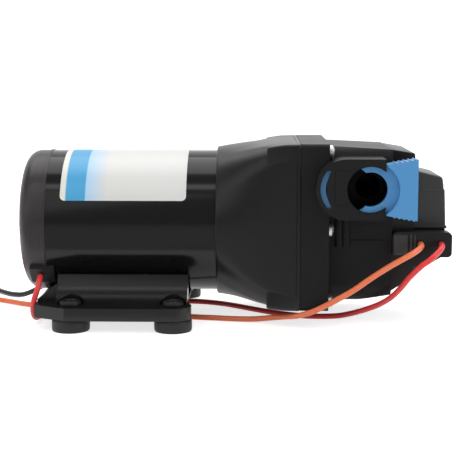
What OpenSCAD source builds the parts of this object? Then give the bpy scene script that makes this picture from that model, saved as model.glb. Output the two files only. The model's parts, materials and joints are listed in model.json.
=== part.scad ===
/* [Motor] */
// Outer diameter of the motor can
motor_d = 72; // [68:0.5:76]
// Wall of the motor can
can_wall = 2.5; // [2:0.1:3]
// Length of the motor can
can_len = 88; // [84:1:100]
// Distance from the centre of the feet back to the rear edge of the can
can_rear = 38.5; // [36:0.5:41]
// Length of the rear cap behind the can
cap_len = 13.5; // [12.5:0.5:18]
// Rounding of the rear cap's edge
cap_round = 7; // [4:0.5:8]
// Wall of the rear cap
cap_wall = 3; // [2.5:0.1:3.5]
// Radial thickness of the field magnets
magnet_t = 7.2; // [6:0.1:8]
// Air gap between the magnets and the armature
air_gap = 0.7; // [0.5:0.1:1]
// Diameter of the motor shaft
shaft_d = 8; // [7:0.1:9]
// Outer diameter of the motor bearings
bearing_d = 22; // [19:0.5:24]
// Width of the motor bearings
bearing_w = 7; // [6:0.5:7.5]
// Diameter of the commutator
comm_d = 20; // [17:0.5:22]
// Length of the commutator
comm_len = 12; // [11:0.5:14]
// Length of one end winding of the armature
winding_len = 5.5; // [4.5:0.5:7]
// Diameter of the through bolts
through_bolt_d = 4; // [3:0.1:4.5]

/* [Base] */
// Distance between the feet along the motor
foot_span_x = 50; // [46:1:56]
// Distance between the feet across the motor
foot_span_y = 86; // [84:1:96]
// Diameter of a rubber foot
foot_d = 18.6; // [17:0.2:20]
// Height of a rubber foot under the plate
foot_h = 6.2; // [5.5:0.1:9]
// Thickness of the base plate
plate_t = 6.2; // [5.5:0.1:8]
// Plate beyond the centre of a foot, at the front and the sides
plate_edge = 9; // [8:0.5:11]
// Plate beyond the centres of the rear feet
plate_tail = 18; // [15:0.5:20]
// Diameter of the bolt hole in a foot
bolt_d = 5.2; // [4:0.1:6]
// Diameter of the grommet's top flange
grommet_d = 10.4; // [10:0.1:12]
// Height of the grommet's top flange
grommet_h = 2.6; // [2:0.1:4]
// Material between the plate's top and the lowest line of the motor
saddle_floor = 0.6; // [0.4:0.1:3]
// Height of the saddle's rims above the plate
saddle_rise = 13; // [10:0.5:15]
// Wall of the saddle beside the motor, at its rim
saddle_wall = 3.8; // [3:0.1:5]

/* [Drive housing] */
// Length of the drive housing
bell_len = 41.5; // [40:0.5:50]
// Wall of the skirt that holds the front of the can
skirt_wall = 1.8; // [1.4:0.1:2.4]
// Overlap of the skirt on the can
skirt_len = 4; // [3:0.5:6]
// Thickness of the bulkhead behind the motor
bulkhead_t = 5.5; // [4.5:0.5:7]
// Length of the square corners at the housing's front
ear_len = 16.5; // [10:0.5:20]

/* [Wobble drive] */
// Tilt of the wobble plate
wobble_tilt = 3; // [2:0.25:3.5]
// Radius of the circle on which the pistons sit
piston_ring_r = 17; // [16:0.5:19]
// Radius of a piston
piston_r = 10; // [9:0.25:10.5]
// Radius of a pump chamber
chamber_r = 12; // [11.5:0.25:13]
// Bore of the wobble bearing
wobble_bore = 15; // [14:0.5:16]
// Outer diameter of the wobble bearing
wobble_od = 32; // [30:0.5:33]
// Width of the wobble bearing
wobble_w = 9; // [8:0.5:10]

/* [Pump head] */
// Flange beyond the diaphragm's rim
flange_margin = 9; // [8.5:0.25:10]
// Thickness of the head's flange
flange_t = 13.7; // [13.5:0.1:16]
// Flange above the motor axis, more than half its width
flange_up = 1.2; // [0.5:0.1:3]
// Length of the head beyond its flange
head_len = 31.3; // [30:0.5:36]
// Step from the flange's edge in to the head's side
head_inset = 8.5; // [8:0.1:9.5]
// Fall of the head's top towards the end cover
head_fall = 2.1; // [1:0.1:3]
// Rounding of the head's long edges
head_round = 9; // [7:0.5:11]
// Diameter of a head screw
screw_d = 3.5; // [3:0.1:3.8]
// Diameter of a head screw's pan head
screw_head_d = 6.7; // [6:0.1:7]
// Height of a head screw's pan head
screw_head_h = 2.6; // [2:0.1:3.2]

/* [Ports] */
// Bore of a port socket
port_d = 22; // [19:0.5:22.5]
// Height of the port axis above the motor axis
port_up = 21; // [20:0.25:21]
// Distance from the flange's face to the port axis
port_off = 18.7; // [18:0.1:21]
// Port boss beyond the flange's side
boss_out = 11.5; // [11:0.5:15]
// Depth of the socket behind the clip
socket_depth = 12; // [10:0.5:12.5]
// Travel of the slide clip
clip_travel = 10; // [9:0.5:11]
// Width of the clip's plate
clip_w = 24; // [23.5:0.1:24.2]
// Thickness of the clip's plate
clip_t = 3; // [2:0.1:3.2]
// Radius of the clip's holding fork
fork_r = 8.2; // [7:0.1:9]
// Length of the clip's finger tab
tab_len = 14.5; // [12:0.5:18]

/* [Pressure switch] */
// Length of the end cover at its top
cover_len = 11.5; // [11:0.1:15]
// Length of the switch cover
switch_len = 16.6; // [13:0.1:18]
// Width of the end cover
cover_w = 52; // [50:1:58]
// Width of the switch cover
switch_w = 40; // [36:1:44]
// Wall of the switch cover
switch_wall = 2.2; // [1.8:0.1:2.5]
// Travel of the switch plunger
plunger_travel = 0.8; // [0.4:0.1:1]
// Height of the wire block
block_h = 12.4; // [11:0.2:13]

/* [Leads] */
// Diameter of a lead
wire_d = 2.8; // [2.6:0.1:2.9]
// Turns in the coil of a lead that is put away
coil_turns = 3; // [2:1:4]

/* [Hidden] */
$fn = 64;

// Clearances: located pieces, running shafts, sliding pieces
fit = 0.1;
run = 0.05;
slide = 0.2;
free = 0.5;
// Overlap of a cut past the face that it opens
past = 1;

// Places along the motor axis
foot_x = foot_span_x / 2;
foot_y = foot_span_y / 2;
plate_top = foot_h + plate_t;
motor_r = motor_d / 2;
axis_h = plate_top + saddle_floor + motor_r;
can_x0 = -can_rear;
can_x1 = can_x0 + can_len;
cap_x0 = can_x0 - cap_len;
bell_x0 = can_x1 - skirt_len;
flange_x0 = bell_x0 + bell_len;
flange_x1 = flange_x0 + flange_t;
head_x1 = flange_x1 + head_len;
cover_x1 = head_x1 + cover_len;
switch_x1 = cover_x1 + switch_len;

// Motor internals
can_r_in = motor_r - can_wall;
spigot_len = 4.5;
spigot_wall = 2.5;
spigot_r = can_r_in - fit;
card_t = 2.5;
card_room = 0.3;
card_hole = 3;
card_x0 = can_x0 + spigot_len;
card_x1 = card_x0 + card_t;
comm_r = comm_d / 2;
comm_x0 = card_x1 + past;
comm_x1 = comm_x0 + comm_len;
core_x0 = comm_x1 + free + winding_len;
winding_over = 0.4;
winding_in = 3;
comm_cut = [1.6, 0.5];
race_share = 2.4;
race_groove = 0.8;
bearing_lip = 1;
front_boss_len = bearing_w + 2 * bearing_lip;
front_plate_t = 6;
winding_gap = 1.5;
core_x1 = can_x1 - front_boss_len - winding_gap - winding_len;
core_r = spigot_r - magnet_t - air_gap;
magnet_over = 1.5;
magnet_arc = 140;
slot_count = 12;
slot_r = 2.4;
slot_lip = 1.4;
slot_mouth = 1.4;
slot_ring_r = core_r - slot_r - slot_lip;
shaft_r = shaft_d / 2;
bearing_boss_wall = 3;
bearing_shoulder = 1.5;
bearing_boss_r = bearing_d / 2 + bearing_boss_wall;
through_edge = 1.6;
through_ring_r = spigot_r - through_bolt_d / 2 - through_edge;
through_head_share = 0.9;
through_head_r = through_bolt_d * through_head_share;
through_head_sink = 1.5;
through_head_h = 3.5;
through_room = 0.3;
through_boss_wall = 1.2;
through_boss_r = through_head_r + through_boss_wall;
brush_w = 5;
brush_l = 7;
brush_h = 10;
brush_spring_r = 1.8;
brush_spring_wire = 0.7;
brush_spring_turns = 4;
brush_spring_gap = 0.6;
box_wall = 1;
box_r1 = spigot_r - past;
label_len = 62;
label_t = 0.15;
label_arc = 136;
grommet_angle = 50;
grommet_w = 10;
grommet_back = 8.4;
grommet_lap = 3.5;
grommet_depth = 9;
grommet_proud = 2.2;

// Base
tail_start = 2;
saddle_rear = 8;
saddle_front = 6.6;
bay_depth = 8;
bay_half = 27;
plate_waist = 4;
gusset_h = 9;
saddle_foot = foot_y + past;
saddle_sag = 2.5;
scallop_room = 1.6;
scallop_r = grommet_d / 2 + scallop_room;
neck_in = 1;
neck_r = grommet_d / 2 - neck_in;
recess = [56, 52, 3.2];
recess_mid = -6;
base_screw_x = 14;
base_screw_r = 2;
base_screw_head_r = 4.2;
base_screw_head_h = 2.8;

// Drive housing and diaphragm
seal_w = 2.5;
cavity_r = piston_ring_r + chamber_r + seal_w;
flange_half_w = cavity_r + flange_margin;
flange_top = flange_half_w + flange_up;
flange_down = 0.5;
flange_bottom = flange_half_w - flange_down;
flange_mid = (flange_top - flange_bottom) / 2;
flange_h = flange_top + flange_bottom;
flange_round = 2.5;
flange_corner_r = norm([flange_half_w - flange_round, flange_h / 2 - flange_round]) + flange_round;
skirt_r = motor_r + fit + skirt_wall;
flare_least = 0.2;
flare_sides = 200;
ear_ease = 7;
ear_r = norm([flange_half_w, flange_half_w - ear_ease]);
ear_in = 9;
ear_sink = 0.3;
bead_half = 1.5;
bead_w = 2.6;
crank_wall = 1.5;
crank_r = cavity_r - crank_wall;
bulkhead_x1 = can_x1 + bulkhead_t;
bell_screw_ring = 22;
bell_screw_r = 2;
bell_screw_head_r = 3.6;
bell_screw_head_h = 2.8;
screw_r = screw_d / 2;
screw_edge_y = 1.7;
screw_edge_z = 0.7;
screw_inset_y = screw_head_d / 2 + screw_edge_y;
screw_inset_z = screw_head_d / 2 + screw_edge_z;
dome_share = 1.6;
recess_share = 1.2;
recess_thin = 0.24;
screw_bite = 12;

// Wobble drive, measured along the tilted axis from the diaphragm
piston_angles = [0, 120, 240];
diaphragm_t = 1.2;
disc_r = cavity_r - bead_w - free;
arm_share = 0.8;
journal_over = 3;
journal_room = 2;
disc_over = 0.8;
disc_room = 1.2;
wobble_arm_t = 6;
wobble_race_share = 2.5;
wobble_race_groove = 1;
hub_gap = 15;
hub_wall = 3;
hub_r = wobble_od / 2 + hub_wall;
journal_z1 = -hub_gap;
journal_z0 = journal_z1 - wobble_w;
lobe_r = piston_r - past;
arm_half = lobe_r * arm_share;
piston_t = 3;
piston_neck_r = 3;
piston_screw_r = 1.5;
piston_screw_head_r = 2.8;
piston_screw_head_h = 1.4;
collar_wall = 2;
collar_r = wobble_bore / 2 + collar_wall;
collar_len = 5;
collar_x1 = flange_x0 + journal_z0 * cos(wobble_tilt) - collar_r * sin(wobble_tilt) - free;
collar_x0 = collar_x1 - collar_len;
set_screw_short = 0.3;
set_screw_r = 1.5;
shaft_x1 = flange_x0 - hub_gap + past;

// Valves
valve_x0 = flange_x0 + bead_half;
valve_sink = 0.7;
valve_x1 = flange_x1 - valve_sink;
web_t = 4.5;
web_x0 = valve_x1 - web_t;
web_recess = 2;
inlet_out = 3;
outlet_edge = 3;
inlet_ring_r = piston_ring_r + inlet_out;
outlet_ring_r = piston_ring_r - chamber_r + outlet_edge;
umbrella_r = 5.5;
umbrella_t = 1.2;
outlet_room = 1.2;
outlet_lap = 2.5;
outlet_r = outlet_ring_r + outlet_lap;
stem_r = 1.4;
bead_over = 0.6;
stem_bead = stem_r + bead_over;
outlet_reach = 3;
outlet_stem = web_t + outlet_reach;
port_hole_r = 1.2;
inlet_hole_in = 2;
outlet_hole_turn = 20;
inlet_hole_ring = umbrella_r - inlet_hole_in;
seal_in = 2.6;
seal_r = cavity_r - seal_in;
seal_cord = 1.4;

// Head
head_half_w = flange_half_w - head_inset;
head_drop = 1.2;
head_lift = 3;
head_wall = 6;
head_top = flange_top - head_drop;
head_dip = 0.3;
head_rise = 4;
head_rise_len = 19;
head_bottom = flange_bottom - head_lift;
head_mid = (head_top - head_bottom) / 2;
head_wall_x = head_x1 - head_wall;
gallery_in = 1.5;
gallery_r0 = inlet_ring_r - umbrella_r + gallery_in;
gallery_r1 = inlet_ring_r + umbrella_r + past;
gallery_depth = 7;
gallery_arc = 262;
outlet_up = 11;
rib_len = 16;
rib_down = 7;
rib_t = 0.8;
rib_h = 1.2;
rib_shift = 0.6;
pillar_in = 5.2;
pillar_step = 3.4;
pillar_r = 2;
pillar_h = 15.5;

// Ports
port_r = port_d / 2;
port_x = flange_x1 + port_off;
port_z = axis_h + port_up;
boss_wall = 2;
boss_rim = 2.3;
boss_half = clip_w / 2 + slide + boss_rim;
boss_face = flange_half_w + boss_out;
boss_front = 7;
boss_x1 = port_x + boss_front;
clip_wide_r = port_r + fit;
clip_wall = 2.5;
clip_end_r = clip_wide_r + clip_wall;
clip_x0 = port_x - clip_travel - clip_end_r;
boss_cx = clip_x0 - slide - boss_wall + boss_half;
boss_lip = 2.4;
slot_y1 = boss_face - boss_lip;
slot_y0 = slot_y1 - clip_t - 2 * slide;
socket_y = slot_y0 - socket_depth;
passage_r = 6;
outlet_in = 4;
inlet_in = 15;
window_w = 5.8;
window_in = 2.8;
window_r = 16;
window_half = 9;
tab_gap = 0.4;
tab_x0 = boss_x1 + tab_gap;
tab_x1 = tab_x0 + tab_len;
tab_flare = 2.5;
tab_front = 1.5;
tab_back = 8;
socket_wall = 2.3;
socket_r = port_r + socket_wall;
tab_rib_r = 0.5;
tab_rib_in = 1.6;
tab_rib_count = 5;
tab_rib_step = 2.3;

// Pressure switch
cover_half = cover_w / 2;
cover_top0 = head_top - head_fall - free;
cover_slope = 1.3;
cover_top1 = cover_top0 - cover_slope;
cover_nose = 2.4;
cover_toe = 1.4;
cover_lift = 4.5;
cover_rise = 16.5;
cover_low0 = head_bottom - cover_lift;
cover_low1 = cover_low0 - cover_rise;
shelf_down = 1.5;
shelf_z = axis_h - shelf_down;
switch_half = switch_w / 2;
switch_top0 = 27.8;
switch_top1 = 24.2;
switch_nose = 1.8;
switch_lean = 1.5;
switch_brow = 4.5;
switch_brow_in = 0.9;
switch_up = 13;
switch_z = axis_h + switch_up;
switch_rim_r = 12;
sheet_t = 1.5;
plunger_r = 3;
plunger_flange_r = 8;
plunger_flange_t = 2;
touch_gap = 0.05;
plunger_x0 = head_x1 + sheet_t + touch_gap;
plunger_x1 = cover_x1 + free;
spring_r = 5.6;
spring_wire = 0.9;
spring_turns = 4;
spring_seat = 2.4;
button_r = 1.5;
button_len = 2.2;
micro_x0 = plunger_x1 + button_len + fit + plunger_travel;
micro_x1 = switch_x1 - switch_wall - switch_lean - run;
micro_w = 12;
micro_h = 17;
adjust_sink = 2.4;
adjust_r = 2.5;
adjust_down = 5;
adjust_proud = 0.4;
adjust_slot = [6, 0.8, 2];
block_x0 = head_x1 + fit;
block_x1 = switch_x1 + past;
block_depth = 8;
block_y1 = cover_half + block_depth;
block_z1 = shelf_z;
block_round = 2.2;
block_set = 1;
hole_step = 10;
hole_depth = 5;
hole_in = 5.3;
hole_down = 5.9;
hole_x1 = block_x1 - hole_in;
hole_z = shelf_z - hole_down;
cover_screw_r = 1.5;
cover_screw_head_r = 2.8;
cover_screw_head_h = 2;
cover_screw_bite = 8;
cover_screw_sink = 3;
cover_screw_in = 5;
cover_screw_up = 30;
cover_screw_down = 24;

// Anchors of the leads on the pump
exit_back = 3.7;
exit_stub = 3;
exit_x = can_x0 - exit_back;
exit_dir = [0, -sin(grommet_angle), -cos(grommet_angle)];
exit_near = [exit_x, 0, axis_h] + (motor_r + grommet_proud) * exit_dir;
exit_far = [exit_near[0], -exit_near[1], exit_near[2]];
red_hole = [hole_x1, -block_y1, hole_z];
orange_hole = [hole_x1 - hole_step, -block_y1, hole_z];
flange_edge = [flange_x0, -flange_half_w, axis_h - flange_bottom];

// Hand-chosen route points: some counted from an anchor, the rest on the floor
wire_r = wire_d / 2;
red_drop = [
    [-0.5, -5.3, -5.9], [-2, -6.4, -10.8], [-3, -5.2, -15.6], [-3.2, -2.2, -19.5], [-3, 2.3, -21.8]
];
red_floor = [
    [-44.4, -20.6, 1.9], [-42, -12, 1.8], [-36.5, -3.5, 2.4], [-28.5, 2.4, 4.6], [-20, 6, 4.8],
    [-10, 9.4, 3.8], [0, 13.2, 2.2], [10, 17, 1.5], [20, 20, 1.5], [30, 20.8, 1.5], [39, 18.9, 1.5],
    [48, 14.4, 1.5],
    [56, 8, 1.5], [64, 1, 1.5], [72, -5.6, 1.5], [80, -11, 1.5], [89, -14.9, 1.5], [98.5, -16, 1.5],
    [107.5, -17.4, 2.2], [115, -21.2, 4.6], [121.6, -27, 8], [127, -32.4, 11.6]
];
red_rise = [
    [-24.5, -4.6, -25.6], [-20.5, -9, -20.2], [-16.6, -12.2, -14.2], [-11.3, -13.8, -8.5], [-7.9, -13.8, -6],
    [-4.8, -12.4, -3.6], [-2.2, -9.7, -1.7], [-0.6, -6.1, -0.4], [0, -2, 0], [0, hole_depth, 0]
];
orange_fall = [
    [0, hole_depth, 0], [0, -2, 0], [-0.6, -6.1, -0.3], [-2.5, -9.7, -1.2], [-5.4, -12.4, -2.6],
    [-9.5, -14.2, -4.6], [-17, -15.5, -8.6], [-26.1, -15.6, -14.6], [-33.1, -15, -19.8], [-40.5, -13.4, -24.6]
];
orange_edge = [[12, -4.5, 4], [5.6, -2.9, 0.6], [-1, 1.1, -2.2], [-7.4, 6.1, -3.8]];
orange_floor = [
    [73, -29.6, 3.6], [64, -25.4, 2], [54.5, -22.8, 1.5], [45, -20.9, 1.5], [35, -19, 1.5], [25, -16.6, 1.5],
    [15, -13, 1.5], [5.5, -8.2, 1.5], [-3.5, -2.8, 1.5], [-12.5, 1.6, 1.5], [-22, 3.9, 1.5], [-32, 5, 1.5],
    [-42, 6, 1.5], [-51.5, 8.2, 1.5], [-60, 12.4, 1.5], [-68, 18, 1.5], [-75.5, 22.8, 1.5],
    [-83.5, 25.4, 1.8], [-91, 26, 2.4]
];
black_drop = [
    [-0.6, 4.8, -5.2], [-2.8, 6.8, -9.8], [-7.2, 7.2, -14.4], [-13.4, 6.4, -18.8]
];
black_floor = [
    [-63.4, 35, 2.2], [-70.6, 37.8, 1.5], [-77, 43.8, 1.5], [-82.4, 51, 1.5], [-87.6, 58.6, 1.5],
    [-93.6, 65.8, 2], [-99, 68, 2.4]
];
coil_gap = 0.6;
coil_step = wire_d + coil_gap;
coil_r0 = 18;
coil_z = 2.4;
coil_lead = 3;
coil_rings = 24;
coil_sides = 6;
wire_sides = 8;
orange_coil = [-100, 8];
black_coil = [-106, 50];
tie_angle = 215;
tie_w = 3;
tie_t = 0.6;
tie_gap = 0.35;
bare_len = 8;
bare_r = 0.8;

// Frame with its third axis along the motor axis, its first axis down and its second axis to +Y
module on_axis(x) {
    translate([x, 0, axis_h]) rotate([0, 90, 0]) children();
}

// Frame of the wobble plate: the motor axis, tilted about the middle of the diaphragm
module on_wobble(z) {
    translate([flange_x0, 0, axis_h]) rotate([0, 90 + wobble_tilt, 0]) translate([0, 0, z]) children();
}

// A point at an angle around the axis, counted from straight down towards +Y
module at_angle(angle, r) {
    rotate([0, 0, angle]) translate([r, 0, 0]) children();
}

// A plain round bar along the axis from x0 to x1
module bar(x0, x1, r) {
    on_axis(x0) cylinder(h = x1 - x0, r = r);
}

// A ring along the axis from x0 to x1
module ring(x0, x1, r_out, r_in) {
    on_axis(x0) difference() {
        cylinder(h = x1 - x0, r = r_out);
        translate([0, 0, -past]) cylinder(h = x1 - x0 + 2 * past, r = r_in);
    }
}

// A flat outline in X and Z, drawn out along Y from y0 towards the near side
module toward_near(y0, length) {
    translate([0, y0, 0]) rotate([90, 0, 0]) linear_extrude(length) children();
}

// A flat outline in Y and Z, drawn out along X
module along_x(x0, length) {
    translate([x0, 0, 0]) rotate([90, 0, 90]) linear_extrude(length) children();
}

// Both sides of the pump
module both_sides() {
    children();
    mirror([0, 1, 0]) children();
}

// A rectangle with round corners, centred
module round_rect(w, h, r) {
    square([w - 2 * r, h], center = true);
    square([w, h - 2 * r], center = true);
    for (sx = [-1, 1], sy = [-1, 1]) {
        translate([sx * (w / 2 - r), sy * (h / 2 - r)]) circle(r);
    }
}

// A screw along the axis: shank from x0 to x1, pan head with a crowned top outside x1
module pan_screw(x0, x1, shank_r, head_r, head_h) {
    translate([0, 0, x0]) cylinder(h = x1 - x0, r = shank_r);
    translate([0, 0, x1]) difference() {
        intersection() {
            cylinder(h = head_h, r = head_r);
            translate([0, 0, head_h - head_r * dome_share]) sphere(r = head_r * dome_share);
        }
        for (turn = [0, 90]) {
            rotate([0, 0, turn]) translate([0, 0, head_h]) {
                cube([head_r * recess_share, head_r * recess_thin, head_h], center = true);
            }
        }
    }
}

// Sweep: frames carried along a path without twist, joined by rings of points
function unit(v) = v / norm(v);
function heading(p, i) = unit(p[min(i + 1, len(p) - 1)] - p[max(i - 1, 0)]);
function carried(p, i, n) = i >= len(p) ? [] :
    let (t = heading(p, i), m = unit(n - (n * t) * t)) concat([m], carried(p, i + 1, m));
function ring_points(c, t, n, r, sides) =
    [for (k = [0:sides - 1]) let (a = 360 * k / sides) c + r * (cos(a) * n + sin(a) * cross(t, n))];

// A tube of flat-sided section along the points of a path
module tube(path, r, sides, first_normal) {
    normals = carried(path, 0, first_normal);
    last = len(path) - 1;
    points = [for (i = [0:last]) each ring_points(path[i], heading(path, i), normals[i], r, sides)];
    walls = [
        for (i = [0:last - 1], k = [0:sides - 1])
            let (a = i * sides + k, b = i * sides + (k + 1) % sides)
                each [[a, a + sides, b + sides], [a, b + sides, b]]
    ];
    start_cap = [for (k = [1:sides - 2]) [0, k, k + 1]];
    end_cap = [for (k = [1:sides - 2]) [last * sides, last * sides + k + 1, last * sides + k]];
    polyhedron(points, concat(walls, start_cap, end_cap));
}

// Routes of the leads, from the motor or the wire block outwards
function moved(anchor, points) = [for (p = points) anchor + p];
function red_route() = concat(
    [exit_near, exit_near + exit_stub * exit_dir], moved(exit_near, red_drop), red_floor,
    moved(red_hole, red_rise)
);
function orange_route() = concat(
    moved(orange_hole, orange_fall), moved(flange_edge, orange_edge), orange_floor,
    [coil_path(orange_coil)[0]]
);
function black_route() = concat(
    [exit_far, exit_far + exit_stub * [0, -exit_dir[1], exit_dir[2]]], moved(exit_far, black_drop),
    black_floor, [coil_path(black_coil)[0]]
);

// Coil: spirals in and out again at a steady rate and climbs one layer where it turns back
function coil_radius(t) = coil_r0 - coil_step * (coil_turns / 2 - abs(t - coil_turns / 2));
function coil_height(t) =
    let (s = min(max((t - coil_turns / 2) * 2 + 0.5, 0), 1)) coil_z + coil_step * s * s * (3 - 2 * s);
function coil_point(c, t) =
    let (a = 90 + 360 * t, r = coil_radius(t)) [c[0] + r * cos(a), c[1] + r * sin(a), coil_height(t)];
function coil_path(c) =
    let (count = coil_turns * coil_rings)
        concat(
            [coil_point(c, 0) + [coil_lead, 0, 0]],
            [for (i = [0:count]) coil_point(c, i / coil_rings)],
            [coil_point(c, coil_turns) - [coil_lead, 0, 0]]
        );
function self_gap(p, skip) =
    min([for (i = [0:len(p) - 1], j = [i + skip:1:len(p) - 1]) norm(p[i] - p[j])]) - wire_d;

// Base plate and saddle
module plate_outline() {
    x0 = -foot_x - plate_tail;
    x1 = foot_x + plate_edge;
    y1 = foot_y + plate_edge;
    polygon([
        [x0, -foot_y], [-foot_x - tail_start, -y1], [foot_x, -y1], [x1, -foot_y],
        [x1 - plate_waist, -bay_half], [x1 - plate_waist, bay_half],
        [x1, foot_y], [foot_x, y1], [-foot_x - tail_start, y1], [x0, foot_y]
    ]);
    for (side = [-1, 1]) {
        translate([foot_x, side * foot_y]) circle(plate_edge);
    }
}

// Section of the saddle across the motor, with hollow flanks
module saddle_outline() {
    rim_z = plate_top + saddle_rise;
    rim_y = sqrt(pow(motor_r, 2) - pow(axis_h - rim_z, 2)) + saddle_wall;
    run_y = saddle_foot - rim_y;
    chord = norm([run_y, saddle_rise]);
    flank_r = (chord * chord / 4 + saddle_sag * saddle_sag) / (2 * saddle_sag);
    reach = (flank_r - saddle_sag) / chord;
    difference() {
        polygon([
            [-saddle_foot, plate_top - fit], [-saddle_foot, plate_top], [-rim_y, rim_z],
            [rim_y, rim_z], [saddle_foot, plate_top], [saddle_foot, plate_top - fit]
        ]);
        for (side = [-1, 1]) {
            translate([
                side * ((rim_y + saddle_foot) / 2 + saddle_rise * reach),
                plate_top + saddle_rise / 2 + run_y * reach
            ]) circle(flank_r);
        }
    }
}

// Outline of the sloping web behind the saddle
module web_outline() {
    x0 = -foot_x - plate_tail;
    x1 = -foot_x - saddle_rear;
    low = plate_top - fit;
    polygon([[x0, low], [x1, low], [x1, plate_top + gusset_h], [x0, plate_top + past]]);
}

module mounting_base() {
    color("#1c1c1e") difference() {
        union() {
            translate([0, 0, foot_h]) linear_extrude(plate_t) plate_outline();
            along_x(-foot_x - saddle_rear, foot_span_x + saddle_rear + saddle_front) saddle_outline();
            toward_near(foot_y - plate_edge, foot_span_y - 2 * plate_edge) web_outline();
        }
        on_axis(cap_x0 - past) cylinder(h = can_len + cap_len, r = motor_r + fit);
        translate([foot_x + saddle_front - bay_depth, -bay_half, plate_top]) {
            cube([bay_depth + past, 2 * bay_half, saddle_rise + past]);
        }
        for (x = [-foot_x, foot_x], y = [-foot_y, foot_y]) {
            translate([x, y, foot_h - past]) cylinder(h = plate_t + 2 * past, r = neck_r + fit);
            translate([x, y, plate_top]) cylinder(h = saddle_rise + past, r = scallop_r);
        }
        translate([recess_mid - recess[0] / 2, -recess[1] / 2, foot_h - past]) {
            cube([recess[0], recess[1], recess[2] + past]);
        }
        for (x = [-base_screw_x, base_screw_x]) {
            translate([x, 0, foot_h]) cylinder(h = plate_t + saddle_rise, r = base_screw_r + fit);
        }
    }
}

module rubber_feet() {
    color("#232325") for (x = [-foot_x, foot_x], y = [-foot_y, foot_y]) {
        translate([x, y, 0]) difference() {
            union() {
                cylinder(h = foot_h, r = foot_d / 2);
                cylinder(h = plate_top + past, r = neck_r);
                translate([0, 0, plate_top]) cylinder(h = grommet_h, r = grommet_d / 2);
            }
            translate([0, 0, -past]) cylinder(h = plate_top + grommet_h + 2 * past, r = bolt_d / 2);
        }
    }
}

module base_screws() {
    seat_z = foot_h + recess[2];
    tip_z = axis_h - can_r_in - fit;
    color("#b9bcc0") for (x = [-base_screw_x, base_screw_x]) {
        translate([x, 0, seat_z - base_screw_head_h]) {
            cylinder(h = base_screw_head_h, r = base_screw_head_r);
            cylinder(h = tip_z - seat_z + base_screw_head_h, r = base_screw_r);
        }
    }
}

// Motor shell
module motor_can() {
    color("#0b0b0d") difference() {
        ring(can_x0, can_x1, motor_r, can_r_in);
        for (x = [-base_screw_x, base_screw_x]) {
            translate([x, 0, 0]) cylinder(h = axis_h - can_r_in + past, r = base_screw_r + run);
        }
    }
}

// Outside of the rear cap: a disc with a rounded rear edge
module cap_outside() {
    on_axis(cap_x0) {
        rotate_extrude() {
            square([motor_r - cap_round, cap_len]);
            translate([0, cap_round]) square([motor_r, cap_len - cap_round]);
            intersection() {
                translate([motor_r - cap_round, cap_round]) circle(cap_round);
                square([motor_r, cap_len]);
            }
        }
    }
}

// A wire grommet's block on the near side, with a clearance all round and a lip over the can
module grommet_block(clear) {
    block_r = motor_r + grommet_proud - grommet_depth;
    block_len = grommet_back + grommet_lap;
    difference() {
        on_axis(can_x0 - grommet_back - clear) at_angle(-grommet_angle, block_r - clear) {
            translate([0, -grommet_w / 2 - clear, 0]) {
                cube([grommet_depth + 2 * clear, grommet_w + 2 * clear, block_len + 2 * clear]);
            }
        }
        bar(can_x0 - fit, can_x0 + can_len, motor_r + fit);
    }
}

module motor_rear_cap() {
    hollow_r = spigot_r - spigot_wall;
    boss_len = bearing_w + bearing_lip;
    color("#19191b") difference() {
        union() {
            difference() {
                union() {
                    cap_outside();
                    bar(can_x0 - past, card_x0, spigot_r);
                }
                bar(cap_x0 + cap_wall, card_x0 + past, hollow_r);
            }
            bar(cap_x0 + past, cap_x0 + cap_wall + boss_len, bearing_boss_r);
            intersection() {
                cap_outside();
                for (side = [-1, 1]) {
                    on_axis(cap_x0) at_angle(90 * side, through_ring_r) {
                        cylinder(h = cap_len, r = through_boss_r);
                    }
                }
            }
        }
        bar(cap_x0 + cap_wall + bearing_lip, can_x0, bearing_d / 2 + fit / 2);
        bar(cap_x0 + cap_wall, can_x0, shaft_r + past);
        for (side = [-1, 1]) {
            on_axis(cap_x0 - past) at_angle(90 * side, through_ring_r) {
                cylinder(h = cap_len + spigot_len + 2 * past, r = through_bolt_d / 2 + fit);
                cylinder(h = past + through_head_sink + through_head_h, r = through_head_r + through_room);
            }
        }
        both_sides() grommet_block(fit);
    }
}

module rating_label() {
    color("#f2f1ec") on_axis(-label_len / 2) rotate([0, 0, 180 - label_arc / 2]) {
        rotate_extrude(angle = label_arc) translate([motor_r + run, 0]) square([label_t, label_len]);
    }
}

// Lead leaves each block square to its outer face
module wire_grommets() {
    color("#121214") both_sides() grommet_block(0);
}

module front_plate() {
    color("#8d9094") difference() {
        union() {
            bar(can_x1 - front_plate_t, can_x1, spigot_r);
            bar(can_x1 - front_boss_len, can_x1, bearing_boss_r);
        }
        bar(can_x1 - bearing_lip - bearing_w, can_x1 + past, bearing_d / 2 + fit / 2);
        bar(can_x1 - front_boss_len - past, can_x1, shaft_r + past);
        for (side = [-1, 1]) {
            on_axis(can_x1 - front_plate_t - past) at_angle(90 * side, through_ring_r) {
                cylinder(h = front_plate_t + 2 * past, r = through_bolt_d / 2 + run);
            }
        }
        for (angle = piston_angles) {
            on_axis(can_x1 - front_plate_t - past) at_angle(angle, bell_screw_ring) {
                cylinder(h = front_plate_t + 2 * past, r = bell_screw_r + run);
            }
        }
    }
}

module through_bolts() {
    seat = cap_x0 + through_head_sink + through_head_h;
    color("#b9bcc0") for (side = [-1, 1]) {
        on_axis(seat - through_head_h) at_angle(90 * side, through_ring_r) {
            difference() {
                cylinder(h = through_head_h, r = through_head_r);
                translate([0, 0, -past]) {
                    cylinder(h = past + through_head_h / 2, r = through_bolt_d / 2, $fn = 6);
                }
            }
            translate([0, 0, through_head_h]) cylinder(h = can_x1 - seat - free, r = through_bolt_d / 2);
        }
    }
}

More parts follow.
